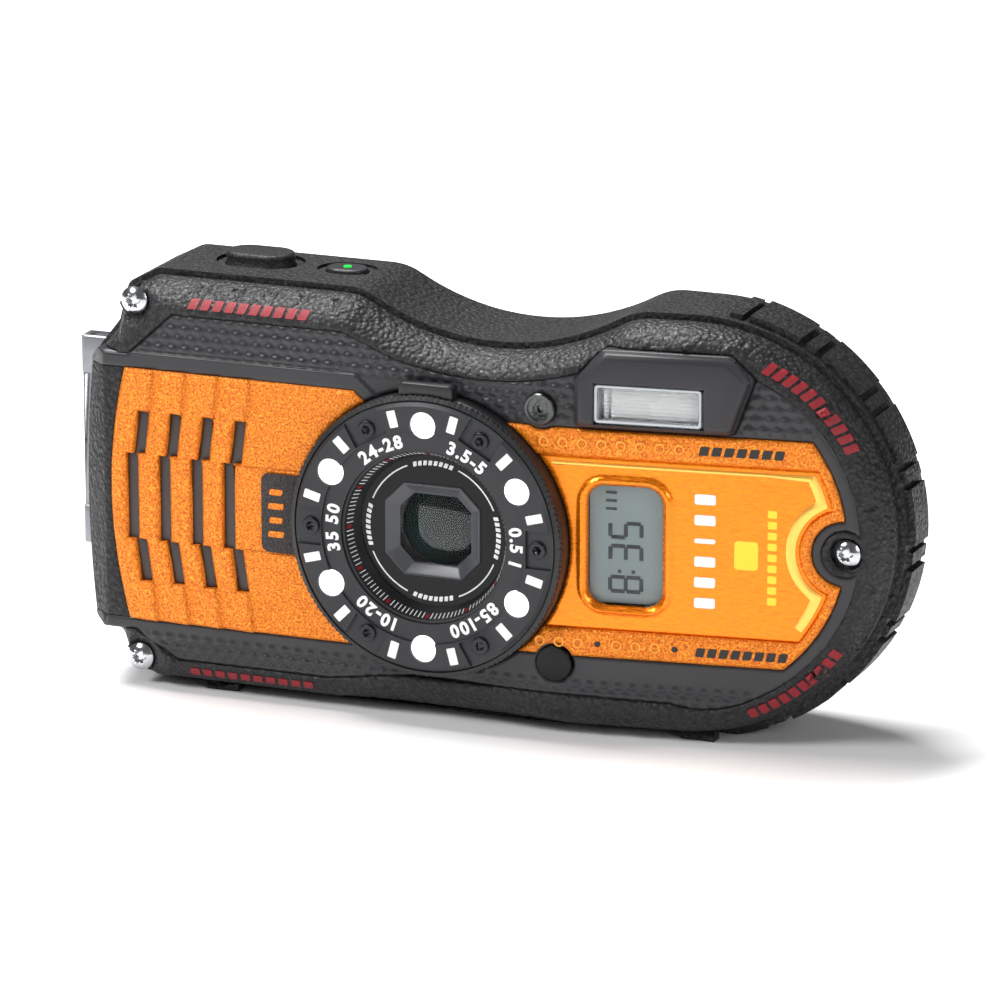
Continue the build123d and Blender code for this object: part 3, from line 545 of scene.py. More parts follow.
def resurface(node, look, relief, spacing, tilt=0.9, reach=(-2, 0.3), spots=(), creases=()):
    """Copy of a CAD node with relief over its front faces.

    relief(x, z, edge, outer) gives the depth behind the front face. edge is the distance to the nearest
    edge of those faces, and outer the distance to the nearest edge that already lay well back.
    """
    mesh = cad_copy(node)

    def front_faces():
        return [face for face in mesh.faces if is_front(face, tilt, reach)]

    cut_rim(mesh, front_faces, spacing)
    bmesh.ops.delete(mesh, geom=front_faces(), context="FACES")
    rim = [edge for edge in mesh.edges if edge.is_boundary]
    verts = sorted({vert for edge in rim for vert in edge.verts}, key=lambda vert: tuple(vert.co))
    index = {vert: number for number, vert in enumerate(verts)}
    places = np.array([vert.co for vert in verts]) / MM
    flat = places[:, [0, 2]]
    links = [(index[edge.verts[0]], index[edge.verts[1]]) for edge in rim]
    starts, ends = flat[[a for a, b in links]], flat[[b for a, b in links]]
    depths = places[:, 1] - face_y(places[:, 0])
    well_back = 1.95
    back = np.array([min(depths[a], depths[b]) > well_back for a, b in links])

    points = list(map(tuple, flat)) + list(map(tuple, inner_points(flat, starts, ends, spacing, spots, creases)))
    links += crease_links(points, starts, ends, spacing, creases)
    made, _, faces, sources, _, _ = delaunay_2d_cdt([Vector(point) for point in points], links, [], 0, 1e-6)
    made = np.array([tuple(point) for point in made])
    corners = np.array(faces)
    kept = crossing(made[corners].mean(1), starts, ends)
    edge_gap = clearance(made, starts, ends)
    outer_gap = clearance(made, starts[back], ends[back])
    y = face_y(made[:, 0]) + relief(made[:, 0], made[:, 1], edge_gap, outer_gap)
    corner_verts = []
    for (x, z), height, source in zip(made, y, sources):
        old = [number for number in source if number < len(verts)]
        if old:
            vert = verts[old[0]]
            vert.co.y = height * MM
        else:
            vert = mesh.verts.new((x * MM, height * MM, z * MM))
        corner_verts.append(vert)
    for face in corners[kept]:
        mesh.faces.new([corner_verts[number] for number in face])
    piece_from(node + "_body", mesh, look, node)


def resampled(line, spacing):
    """Points along a polyline, about spacing apart, with its corners kept."""
    line = np.array(line, float)
    runs = []
    for start, end in zip(line[:-1], line[1:]):
        count = max(1, int(np.hypot(*(end - start)) / spacing))
        runs.append(start + np.arange(count)[:, None] / count * (end - start))
    return np.vstack(runs + [line[-1:]])


def add_loop_grid(mesh, rings, closed=True):
    """Quads between rings of points; each ring is a list of places in millimetres."""
    rows = [[mesh.verts.new([part * MM for part in place]) for place in ring] for ring in rings]
    for row, following in zip(rows[:-1], rows[1:]):
        for number in range(len(row) if closed else len(row) - 1):
            after = (number + 1) % len(row)
            mesh.faces.new((row[number], row[after], following[after], following[number]))
    return rows


def turned(name, look, profile, centre, steps=96, shape=None):
    """Ring or disc turned round an axis along Y, from (radius, y) points.

    shape(turn, radius, number) may change the radius of the profile's point of that number.
    """
    mesh = bmesh.new()
    rings = []
    for number, (radius, y) in enumerate(profile):
        ring = []
        for turn in np.arange(steps) * math.tau / steps:
            reach = shape(turn, radius, number) if shape else radius
            ring.append((centre[0] + reach * math.cos(turn), y, centre[1] + reach * math.sin(turn)))
        rings.append(ring)
    rows = add_loop_grid(mesh, rings)
    for row, (radius, _) in ((rows[0], profile[0]), (rows[-1], profile[-1])):
        if radius < 0.02:
            bmesh.ops.remove_doubles(mesh, verts=[vert for vert in row if vert.is_valid], dist=0.05 * MM)
    closed_piece(name, mesh, look)


def add_walls(mesh, ahead, behind):
    """Side faces between two loops of the same length."""
    for number in range(len(ahead)):
        after = (number + 1) % len(ahead)
        mesh.faces.new((ahead[after], ahead[number], behind[number], behind[after]))


def rounded_bar(centre, width, height, corner, turn=0.0, slant=0.0):
    """Outline of a small bar with rounded corners, turned and slanted."""
    outline = []
    for x, z in rounded_corners(0, 0, width, height, corner, 3):
        x += slant * z
        outline.append((centre[0] + x * math.cos(turn) - z * math.sin(turn),
                        centre[1] + x * math.sin(turn) + z * math.cos(turn)))
    return outline


def rounded_corners(x, z, width, height, corner, steps=6):
    """Points round a rounded rectangle, counterclockwise."""
    line = []
    for side_x, side_z, start in ((1, 1, 0), (-1, 1, 90), (-1, -1, 180), (1, -1, 270)):
        for step in range(steps + 1):
            angle = math.radians(start + 90 * step / steps)
            line.append((x + side_x * (width / 2 - corner) + corner * math.cos(angle),
                         z + side_z * (height / 2 - corner) + corner * math.sin(angle)))
    return line


def tiles(name, look, outlines, front, thick=0.12):
    """One piece made of flat tiles with outlines in (x, z). front(x, z) gives the y of their fronts."""
    mesh = bmesh.new()
    for outline in outlines:
        ahead, behind = ([mesh.verts.new((x * MM, (float(front(x, z)) + gap) * MM, z * MM)) for x, z in outline]
                         for gap in (0, thick))
        mesh.faces.new(ahead)
        mesh.faces.new(behind[::-1])
        add_walls(mesh, ahead, behind)
    closed_piece(name, mesh, look)


def draped(name, look, outlines, under):
    """Thin tiles that follow the curved front of the piece made for another node."""
    ground = bpy.data.objects[under + "_body"].data
    tree = BVHTree.FromPolygons([vert.co for vert in ground.vertices],
                                [tuple(polygon.vertices) for polygon in ground.polygons])
    mesh = bmesh.new()

    def ground_y(x, z):
        return tree.ray_cast(Vector((x * MM, -0.05, z * MM)), Vector((0, 1, 0)))[0].y / MM

    for outline in outlines:
        centre = tuple(np.mean(outline, axis=0))
        middle = ground_y(*centre)
        depths = [min(ground_y(x, z), middle + 0.8) for x, z in outline]
        ahead, behind = ([mesh.verts.new((x * MM, (y + gap) * MM, z * MM)) for (x, z), y in zip(outline, depths)]
                         for gap in (-0.16, 0.25))
        tips = [mesh.verts.new((centre[0] * MM, (middle + gap) * MM, centre[1] * MM)) for gap in (-0.2, 0.25)]
        add_walls(mesh, ahead, behind)
        for number in range(len(outline)):
            after = (number + 1) % len(outline)
            mesh.faces.new((ahead[number], ahead[after], tips[0]))
            mesh.faces.new((behind[after], behind[number], tips[1]))
    closed_piece(name, mesh, look)


def digits(text, height):
    """Flat mesh outline data of one numeral: places in millimetres and faces."""
    curve = bpy.data.curves.new("digit", "FONT")
    curve.body, curve.size, curve.offset, curve.resolution_u = text, height * 1.35, 0.05 * height, 3
    curve.align_x = "CENTER"
    holder = bpy.data.objects.new("digit", curve)
    bpy.context.scene.collection.objects.link(holder)
    flat = bpy.data.meshes.new_from_object(holder.evaluated_get(bpy.context.evaluated_depsgraph_get()))
    places = [(vert.co.x, vert.co.y) for vert in flat.vertices]
    faces = [tuple(polygon.vertices) for polygon in flat.polygons]
    bpy.data.objects.remove(holder)
    bpy.data.curves.remove(curve)
    bpy.data.meshes.remove(flat)
    return places, faces


def arc_numbers(name, look, words, centre, radius, height, y):
    """Numerals set round an arc, from (text, middle angle in degrees, flipped) words."""
    mesh = bmesh.new()
    advance = {".": 0.42, " ": 0.45, "-": 0.55, "1": 0.62}
    for text, middle, flipped in words:
        widths = [advance.get(letter, 0.84) * height for letter in text]
        run = -sum(widths) / 2
        for letter, width in zip(text, widths):
            along = (run + width / 2) / radius
            run += width
            if letter == " ":
                continue
            angle = math.radians(middle) + (along if flipped else -along)
            base = radius + (0.5 if flipped else -0.5) * height
            lean = angle + (math.pi / 2 if flipped else -math.pi / 2)
            places, faces = digits(letter, height)
            rows = []
            for layer in (y - 0.1, y + 0.1):
                rows.append([mesh.verts.new(((centre[0] + base * math.cos(angle) + px * math.cos(lean)
                                              - pz * math.sin(lean)) * MM, layer * MM,
                                             (centre[1] + base * math.sin(angle) + px * math.sin(lean)
                                              + pz * math.cos(lean)) * MM)) for px, pz in places])
            edges = {}
            for face in faces:
                mesh.faces.new([rows[0][number] for number in face])
                mesh.faces.new([rows[1][number] for number in face[::-1]])
                for start, end in zip(face, face[1:] + face[:1]):
                    edges[(start, end)] = edges.get((start, end), 0) + 1
            for start, end in edges:
                if (end, start) not in edges:
                    mesh.faces.new((rows[0][end], rows[0][start], rows[1][start], rows[1][end]))
    closed_piece(name, mesh, look)


def on_ring(radius, degrees, centre=CENTRE):
    """(x, z) at a radius and an angle round a centre, by default the lens."""
    angle = math.radians(degrees)
    return (centre[0] + radius * math.cos(angle), centre[1] + radius * math.sin(angle))


def ring_bar(radius, degrees, width, height, corner, slant=0.0):
    """Bar with its middle at a radius and an angle round the lens, pointing outwards."""
    return rounded_bar(on_ring(radius, degrees), width, height, corner, math.radians(degrees - 90), slant)


# ---- bumper ----------------------------------------------------------------------
BUMPER_DIMPLES = ([(-42.0 + 5.25 * number, 60.3, 1.1, 0.75) for number in range(5)]
                  + [(58.0, 37.0, 0.9, 0.5), (58.0, 24.7, 0.9, 0.5), (56.7, 18.7, 0.9, 0.5)])
BUMPER_BUMPS = ([(17.8 + 5.8 * number, 2.6, 0.8, -0.4) for number in range(4)]
                + [(26.2 + 5.8 * number, 58.9, 0.7, -0.35) for number in range(3)])


def bumper_relief(x, z, edge, outer):
    """Rolled outer edge, scooped screw pockets, thumb facet, dimples and bumps."""
    top = smooth(z, 40, 56) * smooth(-x, -34, -26)
    right = smooth(x, 38, 50)
    low = smooth(-z, -20, -8) * (1 - right)
    width = 2.6 + 1.0 * top + 3.2 * right + 1.0 * low
    roll = 3.0 + 2.4 * top + 2.6 * right + 0.9 * low
    part = np.clip(1 - outer / width, 0, 1)
    power = 1.55 + 0.35 * right
    depth = np.minimum(roll * (1 - (1 - part**power) ** (1 / power)), 5.5 - 1.5 * right)
    for screw_x, _, screw_z in CASE_SCREWS[:2]:
        away = np.hypot(x - screw_x, z - screw_z)
        depth = np.maximum(depth, 1.3 * (1 - smooth(away, 2.4, 4.6)))
        swell = np.exp(-((away - 5.2) / 1.1) ** 2)
        depth -= 0.3 * swell * smooth(outer, 0.8, 2.0)
    facet = 5.4 - 0.012 * (x + 3.5) ** 2
    on_facet = smooth(facet - z, 0.0, 0.35) * smooth(18.5 - np.abs(x + 3.5), 0, 2)
    depth += on_facet * (0.35 + 0.32 * np.clip(facet - z, 0, 3))
    ribs = np.exp(-(((x + 22) % 4.1 - 2.05 + 0.25 * (z - 3) ** 2 * 0.3) / 0.32) ** 2)
    depth += 0.3 * on_facet * ribs * smooth(z, 0.8, 1.6) * smooth(facet - z, 0.9, 1.6)
    groove = np.exp(-((outer - 0.75) / 0.22) ** 2) * smooth(-x, -24, -14) * smooth(z, 50, 56) * smooth(x, -52, -46)
    lip = 0.14 * np.clip(1 - edge / 0.35, 0, 1) ** 2 * (outer > 1)
    return depth + 0.35 * groove + lip + spot_relief(x, z, BUMPER_DIMPLES + BUMPER_BUMPS)


resurface("front_shell", "armour", bumper_relief, 0.5, tilt=0.02, reach=(-0.3, 0.1),
          spots=BUMPER_DIMPLES + BUMPER_BUMPS)

# ---- grip plate --------------------------------------------------------------------
SLOT_PITCH, SLOT_WIDTH = 5.1, 1.8
SLOTS_LOW, SLOTS_HIGH = 22.8, 35.7  # heights where the middle row of slots starts and ends


def slot_edge(z):
    """X of the right edge of the first column of slots at height z, carried on above and below."""
    upper = -50.4 + (z - SLOTS_HIGH) * 0.8 / 6.5
    lower = -50.3 + (SLOTS_LOW - z) * 0.9 / 6.3
    return np.where(z >= SLOTS_HIGH, upper, np.where(z >= SLOTS_LOW, -51.5, lower))


def shingle_lines():
    """Paired lines where each shingle of the grip plate steps up, above and below its slots."""
    lines = []
    for number in range(4):
        for low, high in ((42.25, 48.35), (10.65, 16.45)):
            for gap in (-0.03, 0.03):
                lines.append([(float(slot_edge(np.array(z))) + gap + number * SLOT_PITCH, z) for z in (low, high)])
    return lines


CROSS_GROOVES = (35.5, 23.0)


def cross_lines():
    """Fine grooves from the last slots to the lens ring."""
    start = -53.3 + 3 * SLOT_PITCH + SLOT_WIDTH + 0.4
    return [[(start, z + gap), (-20.0, z + gap)] for z in CROSS_GROOVES for gap in (-0.16, 0.0, 0.16)]


def grip_relief(x, z, edge, outer):
    """Shingles that rise to a step at each line, fine cross grooves and rounded edges."""
    beside_slot = (z > 16.5) & (z < 42.2)
    along = (x - slot_edge(z) + 0.25 * beside_slot) / SLOT_PITCH
    number = np.floor(along)
    part = along - number
    rising = np.where((number >= -1) & (number < 3), part, 0)
    lift = 0.5 * rising * np.where((z > SLOTS_LOW) & (z < SLOTS_HIGH), 0.7, 1)
    groove = np.zeros_like(x)
    for height in CROSS_GROOVES:
        groove += np.clip(1 - np.abs(z - height) / 0.16, 0, 1) * smooth(x, -36.2, -35.8)
    return -0.15 - lift + 0.3 * groove + 0.32 * np.clip(1 - edge / 0.45, 0, 1) ** 2


resurface("grip_plate", "orange", grip_relief, 0.45, creases=shingle_lines() + cross_lines())
softened("grip_inserts", "insert", 0.25)
softened("grip_badge", "badge", 0.15)
tiles("badge_mark", "orange",
      [rounded_bar((-29.3, 26.0 + 2.1 * row), 2.4 - 0.4 * (row % 2), 0.9, 0.25, slant=0.2) for row in range(4)],
      lambda x, z: -13.78, 0.1)


# ---- trim and side ---------------------------------------------------------------
def trim_relief(x, z, edge, outer):
    """Staggered soft dimples with smooth bands along the plates."""
    pitch_x, pitch_z = 2.05, 1.5
    row = np.floor(z / pitch_z)
    offset = (row % 2) * 0.5
    local_x = ((x / pitch_x + offset) % 1 - 0.5) * 2
    local_z = ((z / pitch_z) % 1 - 0.5) * 2
    cushion = np.clip(1 - local_x**2, 0, 1) * np.clip(1 - local_z**2, 0, 1)
    fields = smooth(z, 50.75, 51.0) + smooth(-z, -9.1, -8.9) + smooth(x, -8, -7.5) * smooth(z, 46.6, 46.9)
    fields = np.clip(fields * smooth(x, -56.0, -55.4), 0, 1)
    slant = (z - 48.4) + (x + 17.5) * 0.884
    band = (x > -19.5) & (x < -7.6) & (slant < 2.9) & (z > 38)
    fields = np.where(band, 0, fields) * smooth(edge, 0.3, 0.7)
    low_side = np.where(x > -17.2, smooth(-slant, -2.9, -2.6) * (x < -7.6) * (z > 38),
                        smooth(-z, -50.95, -50.7) * smooth(z, 47, 48))
    step = 0.25 * low_side
    return 0.4 - step + 0.22 * fields - 0.48 * fields * cushion + 0.2 * np.clip(1 - edge / 0.4, 0, 1) ** 2


resurface("trim_frame", "carbon", trim_relief, 0.38, reach=(-0.2, 0.45),
          creases=[[(-55.5, 50.72), (-17.2, 50.72), (-8.0, 42.59)], [(-55.5, 51.02), (-17.2, 51.03), (-8.0, 42.9)]])
softened("side_grip", "armour", 0.3)
softened("flash_hood", "trim", 0.45, 3)


# ---- right plate and gloss panel ---------------------------------------------------
PLATE_ROW = [(11.9 + 2.78 * number, 44.0, 0.75, 0.26) for number in range(8)]
LOW_ROW = [(11.4 + 2.78 * number, 14.5, 0.75, 0.26) for number in range(8)]
MIC_HOLES = [(LOW_ROW[3][0], 14.5, 0.42, 1.0), (LOW_ROW[7][0], 14.5, 0.42, 1.0)]
PLATE_STUDS = PLATE_ROW + [spot for number, spot in enumerate(LOW_ROW) if number not in (3, 7)]
PLATE_SPOTS = PLATE_STUDS + MIC_HOLES
CLOCK_CORNER = 2.6


def plate_relief(x, z, edge, outer):
    """Dimples with raised rims, two holes and rounded edges."""
    rims = np.zeros_like(x)
    for spot_x, spot_z, radius, _ in PLATE_STUDS:
        away = np.hypot(x - spot_x, z - spot_z)
        rims -= 0.22 * np.exp(-((away - radius) / 0.16) ** 2) + 0.3 * np.exp(-(away / 0.26) ** 2)
    return -0.1 + rims + spot_relief(x, z, PLATE_SPOTS) + 0.3 * np.clip(1 - edge / 0.45, 0, 1) ** 2


def panel_relief(x, z, edge, outer):
    """Moulded frame round the clock."""
    to_clock = np.maximum(np.abs(x - CLOCK[0]) - CLOCK[2] / 2, np.abs(z - CLOCK[1]) - CLOCK[3] / 2)
    corner = np.hypot(np.clip(np.abs(x - CLOCK[0]) - CLOCK[2] / 2 + CLOCK_CORNER, 0, None),
                      np.clip(np.abs(z - CLOCK[1]) - CLOCK[3] / 2 + CLOCK_CORNER, 0, None)) - CLOCK_CORNER
    gap = np.maximum(np.minimum(to_clock, 9), corner)
    frame_bead = np.exp(-((gap - 0.75) / 0.42) ** 2)
    return PANEL_SINK - 0.55 * frame_bead + 0.1 * np.clip(1 - edge / 0.3, 0, 1) ** 2


def offset_lines(outline, gaps):
    """Copies of a rounded rectangle (x, z, width, height, corner) at several gaps outside it."""
    x, z, width, height, corner = outline
    lines = []
    for gap in gaps:
        line = rounded_corners(x, z, width + 2 * gap, height + 2 * gap, corner + gap)
        lines.append(line + line[:1])
    return lines


resurface("face_plate", "orange", plate_relief, 0.45, spots=PLATE_SPOTS)
resurface("display_panel", "gloss_orange", panel_relief, 0.4, reach=(0.2, 0.8),
          creases=offset_lines((*CLOCK, CLOCK_CORNER), (0.35, 0.75, 1.2, 1.7)))


def stud_rings():
    """Fine raised rings round the dimples of the right plate, in a lighter orange that paints the highlight on their
    rims.
    """
    mesh = bmesh.new()
    for stud_x, stud_z, _, _ in PLATE_STUDS:
        rings = []
        for reach, height in ((0.5, 0.1), (0.58, 0.3), (0.7, 0.32), (0.8, 0.1)):
            ring = []
            for number in range(20):
                turn = number * math.tau / 20
                x = stud_x + reach * math.cos(turn)
                ring.append((x, float(face_y(x)) - height, stud_z + reach * math.sin(turn)))
            rings.append(ring)
        add_loop_grid(mesh, rings + rings[:1])
    weld(mesh)
    closed_piece("plate_studs", mesh, "stud")


stud_rings()
LIP_TURNS = np.linspace(math.radians(27.0), math.radians(-35.5), 60)


def lip_path(gap):
    """Line inside the gloss panel's top and right edges, at a distance from them."""
    reach = 23.1 - gap
    top = 42.0 - gap
    line = [(x, top) for x in np.linspace(13.4 - 0.4 * gap, END_X + math.sqrt(reach**2 - (top - END_Z) ** 2), 24)]
    screw_x, _, screw_z = CASE_SCREWS[2]
    away = (screw_x - END_X, screw_z - END_Z)
    distance, heading = math.hypot(*away), math.atan2(away[1], away[0])
    for turn in LIP_TURNS:
        radius, across = reach, distance * math.sin(turn - heading)
        if abs(across) < 6.4 + gap:
            radius = min(reach, distance * math.cos(turn - heading) - math.sqrt((6.4 + gap) ** 2 - across**2))
        line.append((END_X + radius * math.cos(turn), END_Z + radius * math.sin(turn)))
    return line


def panel_lip():
    """Bead along the gloss panel's top and right edges, wider on the right, in a light yellow that paints the
    highlight of the panel's glossy edge.
    """
    mesh = bmesh.new()
    rings = []
    for across, height in ((-1, -0.05), (-0.9, 0.16), (-0.35, 0.3), (0.35, 0.3), (0.9, 0.16), (1, -0.05)):
        ring = []
        for number, (narrow, wide) in enumerate(zip(lip_path(1.15 + 0.32 * across), lip_path(1.35 + 0.75 * across))):
            share = min(1, max(0, (number - 20) / 6))
            x = narrow[0] + share * (wide[0] - narrow[0])
            z = narrow[1] + share * (wide[1] - narrow[1])
            ring.append((x, float(face_y(x)) + PANEL_SINK - height, z))
        rings.append(ring)
    add_loop_grid(mesh, rings + rings[:1], closed=False)
    weld(mesh)
    bmesh.ops.holes_fill(mesh, edges=[edge for edge in mesh.edges if edge.is_boundary])
    closed_piece("panel_lip", mesh, "lip_painted_highlight")


panel_lip()

# ---- prints, with painted shade over the mic holes ---------------------------------
MARK_SLANT, MARK_FILL, MARK_CORNER = 0.25, 0.72, 0.16


def letters_row(start, end, count, height):
    """Slanted bars in a row from start to end, where a printed word would be."""
    start, end = np.array(start, float), np.array(end, float)
    run = end - start
    turn = math.atan2(run[1], run[0])
    pitch = float(np.hypot(*run)) / count
    return [rounded_bar(tuple(start + run * (number + 0.5) / count), pitch * MARK_FILL, height,
                        MARK_CORNER, turn, MARK_SLANT) for number in range(count)]


def letters_arc(centre, radius, first, last, count, height):
    """Slanted bars round an arc, between two angles in degrees."""
    outlines = []
    for number in range(count):
        degrees = first + (last - first) * (number + 0.5) / count
        pitch = radius * math.radians(abs(last - first)) / count
        outlines.append(rounded_bar(on_ring(radius, degrees, centre), pitch * MARK_FILL, height,
                                    MARK_CORNER, math.radians(degrees + 90), MARK_SLANT))
    return outlines


red = letters_row((-43.5, 58.75), (-24.3, 58.75), 10, 1.3) + letters_row((-44.0, 3.35), (-24.0, 3.35), 10, 1.2)
red += letters_arc((END_X, END_Z), 28.2, 64, 28, 11, 1.5) + letters_arc((END_X, END_Z), 28.0, -68, -34, 10, 1.5)
draped("red_marks", "red_ink", red, "front_shell")
black_print_and_shade_outlines = letters_row((34.0, 44.0), (46.5, 44.0), 7, 1.3) + letters_row((33.7, 14.3), (47.2, 14.3), 8, 1.3)
# the two round black tiles over the mic holes are painted shade for the dark inside of the holes; the bars are black
# print
black_print_and_shade_outlines += [rounded_corners(x, z, 0.84, 0.84, 0.41) for x, z, _, _ in MIC_HOLES]
tiles("black_print_and_hole_shade", "black_ink_and_hole_shade", black_print_and_shade_outlines, lambda x, z: face_y(x) - 0.1 - PRINT)
white = [rounded_bar((34.9, 20.3 + 3.05 * number + 1.2), 3.0, 1.5 if number != 3 else 0.7, 0.3)
         for number in range(6)]
tiles("white_marks", "white_ink", white, lambda x, z: face_y(x) + PANEL_SINK - PRINT)
yellow = [rounded_bar((40.8, 28.9), 3.4, 4.2, 0.5)]
yellow += [rounded_bar((44.5, 22.4 + 1.6 * number), 1.3, 1.1, 0.2) for number in range(9)]
tiles("yellow_marks", "yellow_ink", yellow, lambda x, z: face_y(x) + PANEL_SINK - PRINT)


# ---- lens ring ---------------------------------------------------------------------
softened("ring_base", "ring_dark", 0.15)
softened("ring_screws", "dark_steel", 0.12)


def knurl(turn, radius, number):
    """Fine teeth on the rim's outermost points."""
    return radius - (0.16 if number in (2, 3) and math.cos(turn * 150) <= 0 else 0.0)


turned("ring_knurl", "ring_dark", [(19.95, -15.1), (20.15, -15.5), (20.85, -15.25), (20.85, -14.3), (19.95, -14.3),
                                   (19.95, -15.1)], CENTRE, steps=600, shape=knurl)
tiles("index_marks", "white_ink", [ring_bar(17.75, 15 + 30 * number, 1.3, 2.5, 0.12) for number in range(12)],
      lambda x, z: RING_Y - PRINT)
arc_numbers("dial_numbers", "white_ink",
            [("24-28", 118, False), ("3.5-5", 62, False), ("0.5 1", 0, False), ("85-100", -56, False),
             ("10-20", -121, False), ("35 50", 180, False)], CENTRE, 14.35, 1.95, BAND_Y)


def cone_front(raised):
    """Fronts of marks that stand out of the sloping inner wall of the scale ring."""
    return lambda x, z: DISC_Y - (math.hypot(x - LENS_X, z - LENS_Z) - 11.2) * 3.1 / 1.3 - raised


scale_angles = range(0, 360, 3)
tiles("scale_ticks", "white_ink",
      [ring_bar(12.05, degrees, 0.13, 0.5, 0.05) for degrees in scale_angles if degrees % 30], cone_front(0.14), 0.28)
tiles("scale_dots", "red_ink",
      [ring_bar(12.1, degrees, 0.5, 0.34, 0.12) for degrees in scale_angles if degrees % 30 == 0],
      cone_front(0.16), 0.32)


def lens_arcs():
    """White line arcs and small bars printed on the gloss disc."""
    outlines = []
    for middle in (45, 135, 225, 315):
        steps = [middle - 22 + 44 * number / 12 for number in range(13)]
        outlines.append([on_ring(10.25, degrees) for degrees in steps]
                        + [on_ring(10.05, degrees) for degrees in steps[::-1]])
    for middle in (90, 180, 270, 0):
        for number in range(8):
            degrees = middle + 4.6 * (number - 3.5)
            outlines.append(ring_bar(10.1, degrees, 0.55, 0.7, 0.08, 0.2))
    return outlines


tiles("lens_marks", "white_ink", lens_arcs(), lambda x, z: DISC_Y - 0.03, 0.05)


def funnel():
    """Satin lining of the eight-sided window, with a narrow lip round its mouth."""
    def corners(width, height, corner, y):
        half_x, half_z = width / 2, height / 2
        flat = [(half_x, half_z - corner), (half_x - corner, half_z), (corner - half_x, half_z),
                (-half_x, half_z - corner), (-half_x, corner - half_z), (corner - half_x, -half_z),
                (half_x - corner, -half_z), (half_x, corner - half_z)]
        return [(LENS_X + x, y, LENS_Z + z) for x, z in flat]
    mesh = bmesh.new()
    add_loop_grid(mesh, [corners(14.9, 13.9, 3.0, -12.02), corners(14.6, 13.6, 2.95, -12.3),
                         corners(14.1, 13.1, 2.8, -12.25), corners(11.5, 10.8, 2.3, -11.1),
                         corners(11.0, 10.3, 2.2, -11.05), corners(11.0, 10.3, 2.2, -10.95),
                         corners(14.9, 13.9, 3.0, -12.02)])
    weld(mesh)
    edges = [edge for edge in mesh.edges if edge.is_manifold and edge.calc_face_angle(0) > 0.5]
    bmesh.ops.bevel(mesh, geom=edges, offset=0.06 * MM, segments=2, affect="EDGES", clamp_overlap=True)
    closed_piece("window_funnel", mesh, "funnel")


funnel()
# stepped baffles and the front glass, seen through the window
turned("lens_baffle", "baffle", [(8.8, -9.75), (8.8, -9.2), (7.2, -9.2), (7.2, -8.9), (6.4, -8.6), (6.1, -8.3),
                                 (6.1, -7.9), (8.9, -7.9), (8.9, -9.75)], CENTRE)
turned("lens_glass", "coated", [(0.01, -9.15), (1.5, -9.1), (3.0, -8.95), (4.5, -8.65), (5.6, -8.3), (6.1, -8.0),
                                (6.1, -7.8), (0.01, -7.8)], CENTRE)


# ---- case screws --------------------------------------------------------------------
SCREW_R = 2.05


def screw_head(x, y, z):
    """Domed head with a six-lobed socket."""
    mesh = bmesh.new()
    radii = [0.02, 0.4, 0.62, 0.76, 0.84, 0.92, 1.04, 1.2, 1.4, 1.6, 1.8, 1.95, 2.04, SCREW_R]
    rings = []
    for radius in radii:
        ring = []
        for number in range(96):
            turn = number * math.tau / 96
            lobe = 0.88 + 0.16 * math.cos(6 * turn)
            dome = 0.75 * (1 - (radius / SCREW_R) ** 2.6)
            drop = 0.75 * (1 - float(smooth(np.array(radius), lobe - 0.1, lobe + 0.06)))
            ring.append((x + radius * math.cos(turn), y - 0.28 - dome + drop, z + radius * math.sin(turn)))
        rings.append(ring)
    rings.append([(place_x, y, place_z) for place_x, _, place_z in rings[-1]])
    rows = add_loop_grid(mesh, rings)
    mesh.faces.new(rows[0])
    mesh.faces.new(rows[-1][::-1])
    bmesh.ops.recalc_face_normals(mesh, faces=mesh.faces)
    return mesh


def case_screw_heads():
    """The three heads as one piece."""
    joined = bmesh.new()
    holder = bpy.data.meshes.new("screw_head")
    for x, y, z in CASE_SCREWS:
        mesh = screw_head(x, y, z)
        mesh.to_mesh(holder)
        joined.from_mesh(holder)
        mesh.free()
    bpy.data.meshes.remove(holder)
    piece_from("case_screws_body", joined, "chrome", "case_screws")


case_screw_heads()


# ---- lamp, flash and clock ------------------------------------------------------------
LAMP_PROFILE = [(0.02, 0.9), (0.55, 0.9), (0.6, 0.4), (1.0, 0.35), (1.1, 0.1), (1.7, 0.0), (1.75, -0.25),
                (2.15, -0.3), (2.3, -0.1), (2.3, 0.5)]


def lamp_shape(turn, radius, number):
    """Pushes the inner steps of the lamp bowl a little to the right."""
    return radius * (1 + 0.12 * math.cos(turn) * (number in (2, 3, 4)))


turned("lamp_bowl", "lamp_bowl", [(radius, FACE_Y + depth) for radius, depth in LAMP_PROFILE], AF_LAMP,
       shape=lamp_shape)


def flash_place(across, up, depth):
    """Place on the flash, from its centre and behind the bent face."""
    x = FLASH[0] + across
    return (x, float(face_y(x)) + depth, FLASH[1] + up)


def flash_ribs():
    """Ribbed lens and the side reflector seen behind the window."""
    mesh = bmesh.new()
    rows = []
    spread = np.concatenate([[-7.5, -6.9, -6.8, -5.9, -5.8, -5.3], np.linspace(-5.2, 7.5, 14)])
    bulge = np.concatenate([[0.2, 0.9, 0.2, 0.9, 0.2, 0.0], np.zeros(14)])
    for number in range(41):
        up = -2.65 + 5.3 * number / 40
        depth = 0.45 + 0.2 * (number % 4) / 3
        rows.append([flash_place(across, up, depth + swell) for across, swell in zip(spread, bulge)])
    rows.append([flash_place(across, 2.65, 1.6) for across in spread])
    rows.append([flash_place(across, -2.65, 1.6) for across in spread])
    rows.append(rows[0])
    add_loop_grid(mesh, rows, closed=False)
    weld(mesh)
    bmesh.ops.holes_fill(mesh, edges=[edge for edge in mesh.edges if edge.is_boundary])
    closed_piece("flash_ribs", mesh, "diffuser")


